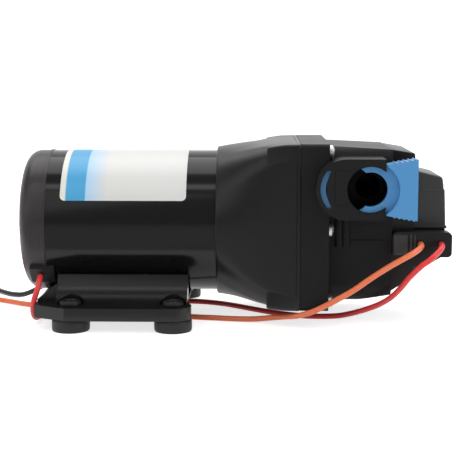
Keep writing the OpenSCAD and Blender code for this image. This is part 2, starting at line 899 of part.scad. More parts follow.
module field_magnets() {
    length = core_x1 - core_x0 + 2 * magnet_over;
    color("#3a3a3c") for (start = [0, 180]) {
        on_axis(core_x0 - magnet_over) rotate([0, 0, start - magnet_arc / 2]) {
            rotate_extrude(angle = magnet_arc) {
                translate([core_r + air_gap, 0]) square([magnet_t - fit, length]);
            }
        }
    }
}

// Ball bearing as one ring with a groove on each face
module bearing(x0, width, r_out, r_in) {
    mid = (r_out + r_in) / 2;
    color("#c4c7cb") on_axis(x0) rotate_extrude() difference() {
        translate([r_in, 0]) square([r_out - r_in, width]);
        for (y = [0, width]) {
            translate([mid, y]) square([(r_out - r_in) / race_share, race_groove], center = true);
        }
    }
}

module rear_bearing() {
    bearing(cap_x0 + cap_wall + bearing_lip, bearing_w, bearing_d / 2, shaft_r + run);
}

module front_bearing() {
    bearing(can_x1 - bearing_lip - bearing_w, bearing_w, bearing_d / 2, shaft_r + run);
}

// Brush gear: a card behind the cap's spigot, two brass boxes, two brushes and their springs
module brush_card() {
    color("#5b3a1e") difference() {
        ring(card_x0, card_x1, can_r_in - card_room, comm_r + card_hole);
        for (side = [-1, 1]) {
            on_axis(card_x0 - past) at_angle(90 * side, through_ring_r) {
                cylinder(h = card_t + 2 * past, r = through_bolt_d / 2 + fit);
            }
        }
    }
}

module brush_boxes() {
    box_r0 = comm_r + 2;
    inner_l = brush_l + 2 * slide;
    inner_w = brush_w + 2 * slide;
    color("#c9a54a") for (angle = [0, 180]) {
        on_axis(card_x1) at_angle(angle, box_r0) difference() {
            translate([0, -inner_w / 2 - box_wall, 0]) {
                cube([box_r1 - box_r0, inner_w + 2 * box_wall, inner_l + 2 * box_wall]);
            }
            translate([-past, -inner_w / 2, box_wall]) {
                cube([box_r1 - box_r0 - box_wall + past, inner_w, inner_l]);
            }
        }
    }
}

module carbon_brushes() {
    color("#2b2b2d") for (angle = [0, 180]) {
        on_axis(card_x1 + box_wall + slide) at_angle(angle, comm_r + fit) {
            translate([0, -brush_w / 2, 0]) cube([brush_h, brush_w, brush_l]);
        }
    }
}

// A coil spring along the third axis, as one unbroken tube with flat-sided section
module coil_spring(r, wire, turns, length) {
    rings = 8;
    path = [
        for (i = [0:turns * rings])
            let (a = 360 * i / rings) [r * cos(a), r * sin(a), length * i / (turns * rings)]
    ];
    tube(path, wire / 2, coil_sides, [1, 0, 0]);
}

module brush_springs() {
    r0 = comm_r + fit + brush_h + brush_spring_gap;
    length = box_r1 - box_wall - r0 - brush_spring_gap;
    color("#cfd2d6") for (angle = [0, 180]) {
        on_axis(card_x1 + box_wall + slide + brush_l / 2) at_angle(angle, r0) {
            rotate([0, 90, 0]) coil_spring(brush_spring_r, brush_spring_wire, brush_spring_turns, length);
        }
    }
}

// Armature
module armature_shaft() {
    color("#c4c7cb") bar(cap_x0 + cap_wall + past, shaft_x1, shaft_r);
}

module armature_core() {
    color("#6f7174") difference() {
        ring(core_x0, core_x1, core_r, shaft_r + run);
        for (i = [0:slot_count - 1]) {
            on_axis(core_x0 - past) at_angle(360 * i / slot_count, slot_ring_r) {
                cylinder(h = core_x1 - core_x0 + 2 * past, r = slot_r);
                translate([0, -slot_mouth / 2, 0]) cube([core_r, slot_mouth, core_x1 - core_x0 + 2 * past]);
            }
        }
    }
}

module armature_windings() {
    outer = slot_ring_r + slot_r + winding_over;
    inner = shaft_r + winding_in;
    bar_r = slot_r - fit;
    color("#b4622c") {
        ring(core_x0 - winding_len, core_x0, outer, inner);
        ring(core_x1, core_x1 + winding_len, outer, inner);
        for (i = [0:slot_count - 1]) {
            on_axis(core_x0 - past) at_angle(360 * i / slot_count, slot_ring_r) {
                cylinder(h = core_x1 - core_x0 + 2 * past, r = bar_r);
            }
        }
    }
}

module commutator() {
    color("#c07a3e") difference() {
        ring(comm_x0, comm_x1, comm_r, shaft_r + run);
        for (i = [0:slot_count - 1]) {
            on_axis(comm_x0 - past) at_angle(360 * (i + 0.5) / slot_count, comm_r) {
                cube([comm_cut[0], comm_cut[1], 2 * (comm_len + 2 * past)], center = true);
            }
        }
    }
}

// Drive housing: round at the motor, growing to the flange's square, with its corners cut round
module bell_side(half) {
    grow = max(half - skirt_r - free, flare_least);
    curve_r = (bell_len * bell_len + grow * grow) / (2 * grow);
    translate([bell_len, half - curve_r]) circle(curve_r, $fn = flare_sides);
}

module bell_profile(up, down) {
    intersection() {
        translate([0, -down - past]) square([bell_len, up + down + 2 * past]);
        bell_side(up);
        mirror([0, 1]) bell_side(down);
    }
}

module bell_outside() {
    big = 2 * flange_corner_r;
    intersection() {
        on_axis(bell_x0) rotate_extrude() polygon([
            [0, 0], [skirt_r, 0], [ear_r, bell_len - ear_len],
            [flange_corner_r - past, bell_len], [0, bell_len]
        ]);
        translate([bell_x0, big / 2, axis_h]) rotate([90, 0, 0]) linear_extrude(big) {
            bell_profile(flange_top, flange_bottom);
        }
        translate([bell_x0, 0, axis_h - big / 2]) linear_extrude(big) {
            bell_profile(flange_half_w, flange_half_w);
        }
    }
}

// Square corners that complete the flange's outline at the front of the housing
module bell_ears() {
    intersection() {
        flange_block(flange_x0 - ear_len, ear_len, ear_sink);
        for (side = [-1, 1], level = [-1, 1]) {
            translate([
                flange_x0 - ear_len - past, side * flange_half_w,
                axis_h + flange_mid + level * flange_h / 2
            ]) translate([0, -ear_in, -ear_in]) cube([ear_len + 2 * past, 2 * ear_in, 2 * ear_in]);
        }
    }
}

// The flange's outline, drawn in by an inset and drawn out along the axis
module flange_block(x0, length, inset) {
    on_axis(x0) linear_extrude(length) translate([-flange_mid, 0]) {
        round_rect(flange_h - 2 * inset, 2 * (flange_half_w - inset), flange_round);
    }
}

// Places of the head screws around the flange: four corners and the middle of each side
function screw_places() = [
    for (y = [-1, 1]) each [
        for (z = [-1, 1]) [
            y * (flange_half_w - screw_inset_y),
            flange_mid + z * (flange_h / 2 - screw_inset_z)
        ]
    ],
    for (y = [-1, 1]) [y * (flange_half_w - screw_inset_y), 0]
];

module at_screws(x) {
    for (place = screw_places()) {
        translate([x, place[0], axis_h + place[1]]) rotate([0, 90, 0]) children();
    }
}

module drive_housing() {
    color("#2a2a2c") difference() {
        union() {
            bell_outside();
            bell_ears();
        }
        bar(bell_x0 - past, can_x1, motor_r + fit);
        bar(can_x1 - past, bulkhead_x1 + past, bearing_d / 2 - bearing_shoulder);
        bar(bulkhead_x1, flange_x0 + past, crank_r);
        bar(flange_x0 - bead_half, flange_x0 + past, cavity_r);
        for (angle = piston_angles) {
            on_axis(can_x1 - past) at_angle(angle, bell_screw_ring) {
                cylinder(h = bulkhead_t + 2 * past, r = bell_screw_r + fit);
            }
        }
        at_screws(flange_x0 - screw_bite) cylinder(h = screw_bite + past, r = screw_r + run);
    }
}

module bell_screws() {
    length = front_plate_t - free + bulkhead_t;
    color("#b9bcc0") for (angle = piston_angles) {
        on_axis(bulkhead_x1) at_angle(angle, bell_screw_ring) {
            pan_screw(-length, 0, bell_screw_r, bell_screw_head_r, bell_screw_head_h);
        }
    }
}

// Wobble drive
module eccentric() {
    color("#a9acb0") difference() {
        union() {
            bar(collar_x0, collar_x1, collar_r);
            on_wobble(journal_z0 - 2 * past) cylinder(h = wobble_w + 2 * past, r = wobble_bore / 2);
        }
        bar(collar_x0 - past, flange_x0, shaft_r + run);
        translate([collar_x0 + collar_len / 2, 0, axis_h]) {
            cylinder(h = collar_r + past, r = set_screw_r + run);
        }
    }
}

module set_screw() {
    color("#55575a") translate([collar_x0 + collar_len / 2, 0, axis_h + shaft_r + fit]) difference() {
        cylinder(h = collar_r - shaft_r - fit - set_screw_short, r = set_screw_r);
        translate([0, 0, past]) cylinder(h = collar_r, r = set_screw_r / 2, $fn = 6);
    }
}

module wobble_bearing() {
    mid = (wobble_od + wobble_bore) / 4;
    gap = (wobble_od - wobble_bore) / 2;
    color("#c4c7cb") on_wobble(journal_z0) rotate_extrude() difference() {
        translate([wobble_bore / 2 + run, 0]) square([gap - run, wobble_w]);
        for (y = [0, wobble_w]) {
            translate([mid, y]) square([gap / wobble_race_share, wobble_race_groove], center = true);
        }
    }
}

module wobble_plate() {
    arm_z0 = -diaphragm_t / 2 - wobble_arm_t;
    color("#d8d6cf") difference() {
        on_wobble(0) {
            translate([0, 0, journal_z0]) cylinder(h = arm_z0 + wobble_arm_t - journal_z0, r = hub_r);
            for (angle = piston_angles) {
                rotate([0, 0, angle]) translate([0, 0, arm_z0]) {
                    translate([piston_ring_r, 0, 0]) cylinder(h = wobble_arm_t, r = lobe_r);
                    translate([0, -arm_half, 0]) cube([piston_ring_r, 2 * arm_half, wobble_arm_t]);
                }
            }
        }
        on_wobble(journal_z0 - past) cylinder(h = wobble_w + past, r = wobble_od / 2 + run);
        on_wobble(journal_z0) cylinder(h = wobble_w + journal_over, r = wobble_bore / 2 + journal_room);
        for (angle = piston_angles) {
            on_wobble(arm_z0 - past) at_angle(angle, piston_ring_r) {
                cylinder(h = wobble_arm_t + 2 * past, r = piston_screw_r + run);
            }
        }
    }
}

module pistons() {
    color("#e6e4de") for (angle = piston_angles) {
        on_wobble(0) at_angle(angle, piston_ring_r) difference() {
            union() {
                translate([0, 0, diaphragm_t / 2]) cylinder(h = piston_t, r = piston_r);
                translate([0, 0, -diaphragm_t / 2]) cylinder(h = diaphragm_t + past, r = piston_neck_r);
            }
            translate([0, 0, -past]) cylinder(h = piston_t + 2 * past, r = piston_screw_r + run);
        }
    }
}

module piston_screws() {
    seat = diaphragm_t / 2 + piston_t;
    color("#b9bcc0") for (angle = piston_angles) {
        on_wobble(0) at_angle(angle, piston_ring_r) {
            pan_screw(free - wobble_arm_t, seat, piston_screw_r, piston_screw_head_r, piston_screw_head_h);
        }
    }
}

// Rubber diaphragm: a clamped rim and a disc that leans with the wobble plate
module diaphragm() {
    color("#26262a") {
        ring(flange_x0 - bead_half, flange_x0 + bead_half, cavity_r - fit, cavity_r - bead_w - fit);
        difference() {
            on_wobble(-diaphragm_t / 2) cylinder(h = diaphragm_t, r = disc_r + disc_over);
            for (angle = piston_angles) {
                on_wobble(-past) at_angle(angle, piston_ring_r) {
                    cylinder(h = 2 * past, r = piston_neck_r + run);
                }
            }
        }
    }
}

// Valve plate: three chambers, each with an inlet valve, and one outlet valve in the middle
module valve_plate() {
    color("#cfd0d2") difference() {
        bar(valve_x0, valve_x1, cavity_r - fit);
        bar(valve_x0 - past, valve_x0 + web_recess, disc_r + disc_room);
        for (angle = piston_angles) {
            on_axis(0) rotate([0, 0, angle]) {
                translate([piston_ring_r, 0, valve_x0 - past]) {
                    cylinder(h = web_x0 - valve_x0 + past, r = chamber_r);
                }
                translate([inlet_ring_r, 0, web_x0 - past]) {
                    cylinder(h = web_t + 2 * past, r = stem_r + fit);
                    for (hole = [45:90:315]) {
                        rotate([0, 0, hole]) translate([inlet_hole_ring, 0, 0]) {
                            cylinder(h = web_t + 2 * past, r = port_hole_r);
                        }
                    }
                }
                for (hole = [-outlet_hole_turn, outlet_hole_turn]) {
                    rotate([0, 0, hole]) translate([outlet_ring_r, 0, web_x0 - past]) {
                        cylinder(h = web_t + 2 * past, r = port_hole_r);
                    }
                }
            }
        }
        bar(valve_x1 - outlet_stem - past, valve_x1 + past, stem_r + fit);
        bar(valve_x0, valve_x1 - outlet_stem, stem_bead + slide);
    }
}

// Umbrella valve: a thin cap on a stem, cap at the third axis' start
module umbrella(cap_r, stem_len) {
    rotate_extrude() {
        translate([0, -umbrella_t]) square([cap_r, umbrella_t]);
        square([stem_r, stem_len]);
        translate([0, stem_len]) intersection() {
            circle(stem_bead);
            square([stem_bead, stem_bead]);
        }
    }
}

module inlet_valves() {
    color("#b5402c") for (angle = piston_angles) {
        on_axis(web_x0) at_angle(angle, inlet_ring_r) umbrella(umbrella_r, web_t);
    }
}

module outlet_valve() {
    color("#b5402c") on_axis(valve_x1) rotate([180, 0, 0]) umbrella(outlet_r, outlet_stem);
}

module valve_seal() {
    color("#1a1a1a") on_axis(valve_x1) rotate_extrude() translate([seal_r, 0]) square([seal_cord, seal_cord]);
}

// Pump head
module boss_outline() {
    translate([boss_cx, port_z]) circle(boss_half);
    translate([boss_cx, port_z - boss_half]) square([boss_x1 - boss_cx, 2 * boss_half]);
}

// Outline of a clip plate, grown by a clearance, from its round end to x1
module clip_outline(clear, x1) {
    intersection() {
        union() {
            translate([clip_x0 + clip_end_r, port_z]) circle(clip_end_r + clear);
            translate([clip_x0 + clip_end_r, port_z - clip_end_r - clear]) {
                square([x1 - clip_x0 - clip_end_r, 2 * (clip_end_r + clear)]);
            }
        }
        translate([clip_x0 - clear, port_z - clip_w / 2 - clear]) {
            square([x1 - clip_x0 + clear, clip_w + 2 * clear]);
        }
    }
}

// What is cut for one port, on the near side: mouth, window, clip slot, socket and passage
module port_cuts(passage_in) {
    toward_near(-socket_y, boss_face - socket_y + past) translate([port_x, port_z]) circle(port_r);
    toward_near(-slot_y0, slot_y1 - slot_y0) clip_outline(slide, boss_x1 + past);
    toward_near(-slot_y0, boss_face - slot_y0 + past) intersection() {
        clip_outline(slide, boss_x1);
        difference() {
            translate([clip_x0 - slide, port_z - window_half]) square([window_w, 2 * window_half]);
            translate([clip_x0 + window_in + window_r, port_z]) circle(window_r);
        }
    }
    toward_near(-passage_in, socket_y - passage_in + past) translate([port_x, port_z]) circle(passage_r);
}

// Inlet: the far passage turns down and runs to a gallery behind the valve plate
module inlet_cuts() {
    drop_y = 20;
    drop_r = 5;
    mirror([0, 1, 0]) {
        translate([port_x, -drop_y, axis_h + drop_r]) cylinder(h = port_up, r = drop_r);
        translate([valve_x1, -drop_y, axis_h + drop_r]) rotate([0, 90, 0]) {
            cylinder(h = port_x - valve_x1, r = drop_r);
        }
    }
    on_axis(valve_x1 - past) rotate([0, 0, -gallery_arc / 2]) rotate_extrude(angle = gallery_arc) {
        translate([gallery_r0, 0]) square([gallery_r1 - gallery_r0, gallery_depth + past]);
    }
}

// Head behind the flange, with a top that falls towards the end cover
module head_block() {
    difference() {
        on_axis(flange_x1 - past) linear_extrude(head_len + past) translate([-head_mid, 0]) {
            round_rect(head_top + head_bottom, 2 * head_half_w, head_round);
        }
        toward_near(head_half_w + past, 2 * (head_half_w + past)) polygon([
            [flange_x1 - 2 * past, axis_h + head_top - head_dip],
            [head_x1 + past, axis_h + head_top - head_fall],
            [head_x1 + past, axis_h + head_top + past], [flange_x1 - 2 * past, axis_h + head_top + past]
        ]);
        toward_near(head_half_w + past, 2 * (head_half_w + past)) polygon([
            [head_x1 - head_rise_len, axis_h - head_bottom - head_dip],
            [head_x1 + past, axis_h - head_bottom + head_rise],
            [head_x1 + past, axis_h - head_bottom - past],
            [head_x1 - head_rise_len, axis_h - head_bottom - past]
        ]);
    }
}

module pump_head() {
    color("#232325") difference() {
        union() {
            flange_block(flange_x0, flange_t, 0);
            head_block();
            both_sides() {
                toward_near(past - head_half_w, boss_face - head_half_w + past) boss_outline();
                toward_near(past - head_half_w, slot_y0 - head_half_w + past) {
                    translate([port_x, port_z]) circle(socket_r);
                }
                translate([port_x + rib_shift - rib_len / 2, -head_half_w - rib_t, axis_h - rib_down]) {
                    cube([rib_len, 2 * rib_t, rib_h]);
                }
                translate([flange_x1 + pillar_in, -head_half_w, port_z - boss_half - pillar_h]) {
                    cylinder(h = pillar_h + past, r = pillar_r);
                    translate([pillar_step, 0, 0]) cylinder(h = pillar_h + past, r = pillar_r);
                }
            }
        }
        bar(flange_x0 - past, valve_x1, cavity_r);
        on_axis(valve_x1 - past) difference() {
            cylinder(h = seal_cord + past, r = seal_r + seal_cord + fit);
            cylinder(h = seal_cord + past, r = seal_r - fit);
        }
        bar(valve_x1 - past, valve_x1 + gallery_depth, outlet_r + outlet_room);
        on_axis(valve_x1 - past) translate([-outlet_up, 0, 0]) {
            cylinder(h = head_wall_x - valve_x1 + past, r = outlet_up);
        }
        translate([head_wall_x - past, 0, switch_z]) rotate([0, 90, 0]) cylinder(h = head_len, r = plunger_r);
        at_screws(flange_x0 - past) cylinder(h = flange_t + 2 * past, r = screw_r + fit);
        port_cuts(outlet_in);
        mirror([0, 1, 0]) port_cuts(inlet_in);
        inlet_cuts();
        at_cover_screws(head_x1 - cover_screw_bite) {
            cylinder(h = cover_screw_bite + past, r = cover_screw_r + run);
        }
    }
}

module head_screws() {
    color("#d4d6d9") at_screws(0) {
        pan_screw(flange_x0 - screw_bite + free, flange_x1, screw_r, screw_head_d / 2, screw_head_h);
    }
}

// Slide clip: a plate with a wide hole and a holding fork, and a finger tab outside the boss
module port_clip() {
    plate_y0 = slot_y0 + slide;
    tab_half = clip_w / 2;
    difference() {
        union() {
            toward_near(-plate_y0, clip_t) clip_outline(0, tab_x1 - past);
            difference() {
                toward_near(tab_back - boss_face, tab_back + tab_front) polygon([
                    [tab_x0, port_z - tab_half], [tab_x1, port_z - tab_half - tab_flare],
                    [tab_x1, port_z + tab_half + tab_flare], [tab_x0, port_z + tab_half]
                ]);
                toward_near(tab_back - boss_face + past, boss_face + 2 * past) {
                    translate([port_x, port_z]) circle(socket_r + slide);
                }
            }
            for (i = [0:tab_rib_count - 1], side = [-1, 1]) {
                rib_x = tab_x1 - tab_rib_in - i * tab_rib_step;
                rib_z = tab_half + tab_flare * (rib_x - tab_x0) / tab_len;
                toward_near(tab_back - boss_face, tab_back + tab_front) {
                    translate([rib_x, port_z + side * rib_z]) circle(tab_rib_r);
                }
            }
        }
        toward_near(-plate_y0 + past, clip_t + 2 * past) {
            translate([port_x - clip_travel, port_z]) circle(clip_wide_r);
            translate([port_x, port_z]) circle(fork_r);
        }
    }
}

module port_clip_near() {
    color("#4a90c8") port_clip();
}

module port_clip_far() {
    color("#4a90c8") mirror([0, 1, 0]) port_clip();
}

// End cover with a shelf that carries the switch cover
module cover_outline() {
    polygon([
        [head_x1, axis_h + cover_top0], [cover_x1 - cover_nose, axis_h + cover_top1],
        [cover_x1, axis_h + cover_top1 - cover_nose], [cover_x1, shelf_z], [switch_x1 - free, shelf_z],
        [switch_x1 - free, axis_h - cover_low1 + cover_toe],
        [switch_x1 - free - cover_toe, axis_h - cover_low1],
        [head_x1, axis_h - cover_low0]
    ]);
}

module at_cover_screws(x) {
    for (side = [-1, 1], level = [cover_screw_up, -cover_screw_down]) {
        translate([x, side * (cover_half - cover_screw_in), axis_h + level]) rotate([0, 90, 0]) children();
    }
}

module head_end_cover() {
    color("#202022") difference() {
        union() {
            intersection() {
                toward_near(cover_half, cover_w) cover_outline();
                translate([head_x1, -cover_half, 0]) cube([cover_len, cover_w, 2 * axis_h]);
            }
            toward_near(switch_half, switch_w) cover_outline();
        }
        translate([head_x1 - past, 0, switch_z]) rotate([0, 90, 0]) {
            cylinder(h = past + sheet_t, r = switch_rim_r + fit);
            cylinder(h = cover_len - spring_seat + past, r = plunger_flange_r + free);
            cylinder(h = cover_len + 2 * past, r = plunger_r + slide);
        }
        at_cover_screws(head_x1 - past) {
            cylinder(h = cover_len + 2 * past, r = cover_screw_r + fit);
            translate([0, 0, cover_len - cover_screw_sink + past]) {
                cylinder(h = cover_screw_sink + 3 * past, r = cover_screw_head_r + free);
            }
        }
    }
}

module end_cover_screws() {
    length = cover_len - cover_screw_sink + cover_screw_bite - past;
    color("#d4d6d9") at_cover_screws(head_x1 + cover_len - cover_screw_sink) {
        pan_screw(-length, 0, cover_screw_r, cover_screw_head_r, cover_screw_head_h);
    }
}

module switch_diaphragm() {
    color("#26262a") translate([head_x1, 0, switch_z]) rotate([0, 90, 0]) {
        cylinder(h = sheet_t, r = switch_rim_r);
    }
}

module switch_plunger() {
    color("#d8d6cf") translate([plunger_x0, 0, switch_z]) rotate([0, 90, 0]) {
        cylinder(h = plunger_flange_t, r = plunger_flange_r);
        cylinder(h = plunger_x1 - plunger_x0, r = plunger_r);
    }
}

module switch_spring() {
    x0 = plunger_x0 + plunger_flange_t + spring_wire / 2 + touch_gap;
    x1 = cover_x1 - spring_seat - spring_wire / 2 - touch_gap;
    color("#cfd2d6") translate([x0, 0, switch_z]) rotate([0, 90, 0]) {
        coil_spring(spring_r, spring_wire, spring_turns, x1 - x0);
    }
}

// Switch cover: a hollow box with a sloping roof, open towards the end cover
module switch_outline() {
    polygon([
        [cover_x1, shelf_z], [switch_x1, shelf_z],
        [switch_x1 - switch_brow_in, axis_h + switch_top1 - switch_brow],
        [switch_x1 - switch_nose, axis_h + switch_top1], [cover_x1, axis_h + switch_top0]
    ]);
}

// The room inside, with an upright front wall for the microswitch
module switch_room() {
    polygon([
        [cover_x1 - past, shelf_z + switch_wall], [micro_x1 + run, shelf_z + switch_wall],
        [micro_x1 + run, axis_h + switch_top1 - switch_wall],
        [cover_x1 - past, axis_h + switch_top0 - switch_wall]
    ]);
}

module switch_cover() {
    color("#2c2c2e") difference() {
        toward_near(switch_half, switch_w) switch_outline();
        toward_near(switch_half - switch_wall, switch_w - 2 * switch_wall) switch_room();
        translate([micro_x1 - past, 0, switch_z - adjust_down]) rotate([0, 90, 0]) {
            cylinder(h = switch_x1 - micro_x1 + 2 * past, r = adjust_r + run);
        }
    }
}

module microswitch() {
    color("#3b2f2a") difference() {
        translate([micro_x0, -micro_w / 2, switch_z - micro_h / 2]) {
            cube([micro_x1 - micro_x0, micro_w, micro_h]);
        }
        translate([micro_x0 - past, 0, switch_z]) rotate([0, 90, 0]) {
            cylinder(h = past + button_len, r = button_r + run);
        }
        translate([micro_x1 - adjust_sink, 0, switch_z - adjust_down]) rotate([0, 90, 0]) {
            cylinder(h = adjust_sink + past, r = adjust_r + slide);
        }
    }
}

module microswitch_button() {
    color("#c94a34") translate([plunger_x1 + fit, 0, switch_z]) rotate([0, 90, 0]) {
        cylinder(h = button_len + past, r = button_r);
    }
}

module adjusting_screw() {
    x0 = micro_x1 - adjust_sink + fit;
    color("#c9a54a") translate([x0, 0, switch_z - adjust_down]) rotate([0, 90, 0]) difference() {
        cylinder(h = switch_x1 - x0 + adjust_proud, r = adjust_r);
        translate([0, 0, switch_x1 - x0 + adjust_proud]) cube(adjust_slot, center = true);
    }
}

// Wire block on the near side, with two holes for the leads
module wire_block() {
    color("#1e1e20") difference() {
        union() {
            translate([(block_x0 + block_x1) / 2, -cover_half, block_z1 - block_h / 2]) rotate([90, 0, 0]) {
                linear_extrude(block_y1 - cover_half) round_rect(block_x1 - block_x0, block_h, block_round);
            }
            translate([cover_x1, -block_y1 + block_set, block_z1 - block_h + block_set]) {
                cube([
                    switch_x1 - free - cover_x1, block_y1 - switch_half - block_set, block_h - 2 * block_set
                ]);
            }
        }
        for (x = [hole_x1 - hole_step, hole_x1]) {
            translate([x, -block_y1 + hole_depth, hole_z]) rotate([90, 0, 0]) {
                cylinder(h = hole_depth + past, r = wire_r + fit);
            }
        }
    }
}

// Leads
module red_wire() {
    color("#c4232b") tube(red_route(), wire_r, wire_sides, [1, 0, 0]);
}

module orange_wire() {
    color("#e8743a") tube(orange_route(), wire_r, wire_sides, [1, 0, 0]);
}

module black_wire() {
    color("#1a1a1c") tube(black_route(), wire_r, wire_sides, [1, 0, 0]);
}

module orange_wire_coil() {
    echo(str("orange coil least gap ", self_gap(coil_path(orange_coil), coil_rings / 2)));
    color("#e8743a") tube(coil_path(orange_coil), wire_r, coil_sides, [0, 0, 1]);
}

module black_wire_coil() {
    echo(str("black coil least gap ", self_gap(coil_path(black_coil), coil_rings / 2)));
    color("#1a1a1c") tube(coil_path(black_coil), wire_r, coil_sides, [0, 0, 1]);
}

// A flat tie round all the turns of each coil
module coil_ties() {
    low_r = coil_r0 - coil_step * coil_turns / 2 - wire_r - tie_gap;
    high_r = coil_r0 + wire_r + tie_gap;
    low_z = coil_z - wire_r - tie_gap;
    high_z = coil_z + coil_step + wire_r + tie_gap;
    color("#2a2a2c") for (c = [orange_coil, black_coil]) {
        translate([c[0], c[1], 0]) rotate([0, 0, tie_angle]) difference() {
            translate([low_r - tie_t, -tie_w / 2, low_z - tie_t]) {
                cube([high_r - low_r + 2 * tie_t, tie_w, high_z - low_z + 2 * tie_t]);
            }
            translate([low_r, -tie_w, low_z]) cube([high_r - low_r, 2 * tie_w, high_z - low_z]);
        }
    }
}

// Stripped copper at the free end of each supply lead
module wire_ends() {
    color("#c98a4b") for (c = [orange_coil, black_coil]) {
        translate(coil_point(c, coil_turns) - [coil_lead, 0, 0]) rotate([0, -90, 0]) {
            cylinder(h = bare_len, r = bare_r);
        }
    }
}

mounting_base();
rubber_feet();
base_screws();
motor_can();
motor_rear_cap();
rating_label();
wire_grommets();
front_plate();
through_bolts();
field_magnets();
rear_bearing();
front_bearing();
brush_card();
brush_boxes();
carbon_brushes();
brush_springs();
armature_shaft();
armature_core();
armature_windings();
commutator();
drive_housing();
bell_screws();
eccentric();
set_screw();
wobble_bearing();
wobble_plate();
pistons();
piston_screws();
diaphragm();
valve_plate();
inlet_valves();
outlet_valve();
valve_seal();
pump_head();
head_screws();
port_clip_near();
port_clip_far();
head_end_cover();
end_cover_screws();
switch_diaphragm();
switch_plunger();
switch_spring();
switch_cover();
microswitch();
microswitch_button();
adjusting_screw();
wire_block();
red_wire();
orange_wire();
orange_wire_coil();
black_wire();
black_wire_coil();
coil_ties();
wire_ends();
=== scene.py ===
# %% [markdown]
# # A caravan water pump, dressed for its portrait
# The pump is a small motor on a moulded base, with a bell-shaped housing, a pump head and a pressure switch
# at one end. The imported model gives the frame: every solid sits where the part's source put it. This script
# adds what a mould, a paint shop and a label printer add: rounded edges, grain, gloss and colour. A shape
# that is hard to give as an exact solid is made anew as a mesh and takes the solid's place.

# %% Load the frame
import json
import math
import bmesh
import bpy
import numpy as np
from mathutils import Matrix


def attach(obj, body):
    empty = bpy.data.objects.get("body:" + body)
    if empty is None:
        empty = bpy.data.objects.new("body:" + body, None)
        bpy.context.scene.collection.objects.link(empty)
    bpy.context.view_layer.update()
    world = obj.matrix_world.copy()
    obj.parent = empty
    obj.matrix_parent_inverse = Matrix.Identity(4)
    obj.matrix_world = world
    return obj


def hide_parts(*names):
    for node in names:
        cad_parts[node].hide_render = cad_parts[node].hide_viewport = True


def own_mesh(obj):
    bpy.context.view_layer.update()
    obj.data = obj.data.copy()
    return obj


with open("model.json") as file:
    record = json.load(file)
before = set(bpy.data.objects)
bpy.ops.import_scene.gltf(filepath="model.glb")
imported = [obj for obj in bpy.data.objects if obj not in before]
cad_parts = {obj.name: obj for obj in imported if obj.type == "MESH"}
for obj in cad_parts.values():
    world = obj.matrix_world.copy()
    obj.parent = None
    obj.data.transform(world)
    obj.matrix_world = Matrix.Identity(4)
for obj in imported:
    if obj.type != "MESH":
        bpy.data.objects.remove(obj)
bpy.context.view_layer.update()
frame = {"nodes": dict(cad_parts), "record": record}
NODES = frame["nodes"]
MM = 0.001
ROOT = "pump_body"
print("nodes in the frame:", len(NODES))

# %% [markdown]
# ## Camera
# A camera can be set by eye, by moving it until the picture looks right. This one was fitted instead: its
# place, turn and lens lay the feet, the motor and the port over their outlines in the photograph, so that
# sizes can be compared. It looks slightly down and stands a little right of the motor's middle.

# %% Camera at the photograph's place
camera_data = bpy.data.cameras.new("camera")
camera_data.sensor_width = 36.0
camera_data.lens = 88.77
camera_data.clip_end = 20.0
camera = bpy.data.objects.new("camera", camera_data)
camera.location = (0.066462, -0.589779, 0.126999)
camera.rotation_euler = (math.radians(81.823), 0.0, math.radians(1.304))
bpy.context.scene.collection.objects.link(camera)
bpy.context.scene.camera = camera
print("camera lens", camera_data.lens)

# %% [markdown]
# ## Mesh helpers
# Shapes are grids of points worked out with numpy: sections carried along a path, or a profile turned about
# an axis. They could also be modelled by hand, but a formula repeats exactly and changes with one number. A
# grid becomes quads, and an edge is marked sharp only where its two faces meet at more than a given angle, so
# that curves look smooth and corners stay crisp.


# %% Mesh helpers
def grid_faces(rows, columns, wrap_rows=False, wrap_columns=False, start=0):
    """Quads on a grid: point j of row i has the number i times columns plus j, and joins the next ones."""
    i = np.arange(rows if wrap_rows else rows - 1)[:, None]
    j = np.arange(columns if wrap_columns else columns - 1)[None, :]
    next_i, next_j = (i + 1) % rows, (j + 1) % columns
    corners = [i * columns + j, i * columns + next_j, next_i * columns + next_j, next_i * columns + j]
    return (start + np.stack(corners, axis=-1)).reshape(-1, 4).tolist()


def make_object(name, points_mm, faces, material, body=ROOT, sharp=38.0):
    """A mesh object from points in millimetres, riding on a body, smooth but for its sharp edges."""
    mesh = bpy.data.meshes.new(name)
    mesh.from_pydata((np.asarray(points_mm, float) * MM).tolist(), [], [tuple(f) for f in faces])
    build = bmesh.new()
    build.from_mesh(mesh)
    bmesh.ops.recalc_face_normals(build, faces=build.faces)
    for edge in build.edges:
        edge.smooth = edge.calc_face_angle(0.0) < math.radians(sharp)
    for face in build.faces:
        face.smooth = len(face.verts) <= 4
    build.to_mesh(mesh)
    build.free()
    thing = bpy.data.objects.new(name, mesh)
    bpy.context.scene.collection.objects.link(thing)
    thing.data.materials.append(material)
    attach(thing, body)
    return thing


def joined(parts):
    """Several (points, faces) shells as one list of points and one list of faces."""
    points, faces, start = [], [], 0
    for shell_points, shell_faces in parts:
        points.append(np.asarray(shell_points, float))
        faces += [tuple(start + k for k in face) for face in shell_faces]
        start += len(shell_points)
    return np.vstack(points), faces


def loft(rings):
    """A closed shell through rings of equal point count, with a flat face over the first and the last."""
    rows, sides = len(rings), len(rings[0])
    last = (rows - 1) * sides
    caps = [tuple(range(sides))[::-1], tuple(range(last, last + sides))]
    return np.vstack(rings), grid_faces(rows, sides, wrap_columns=True) + caps


print("quads on a grid of 3 by 4 points:", len(grid_faces(3, 4)))

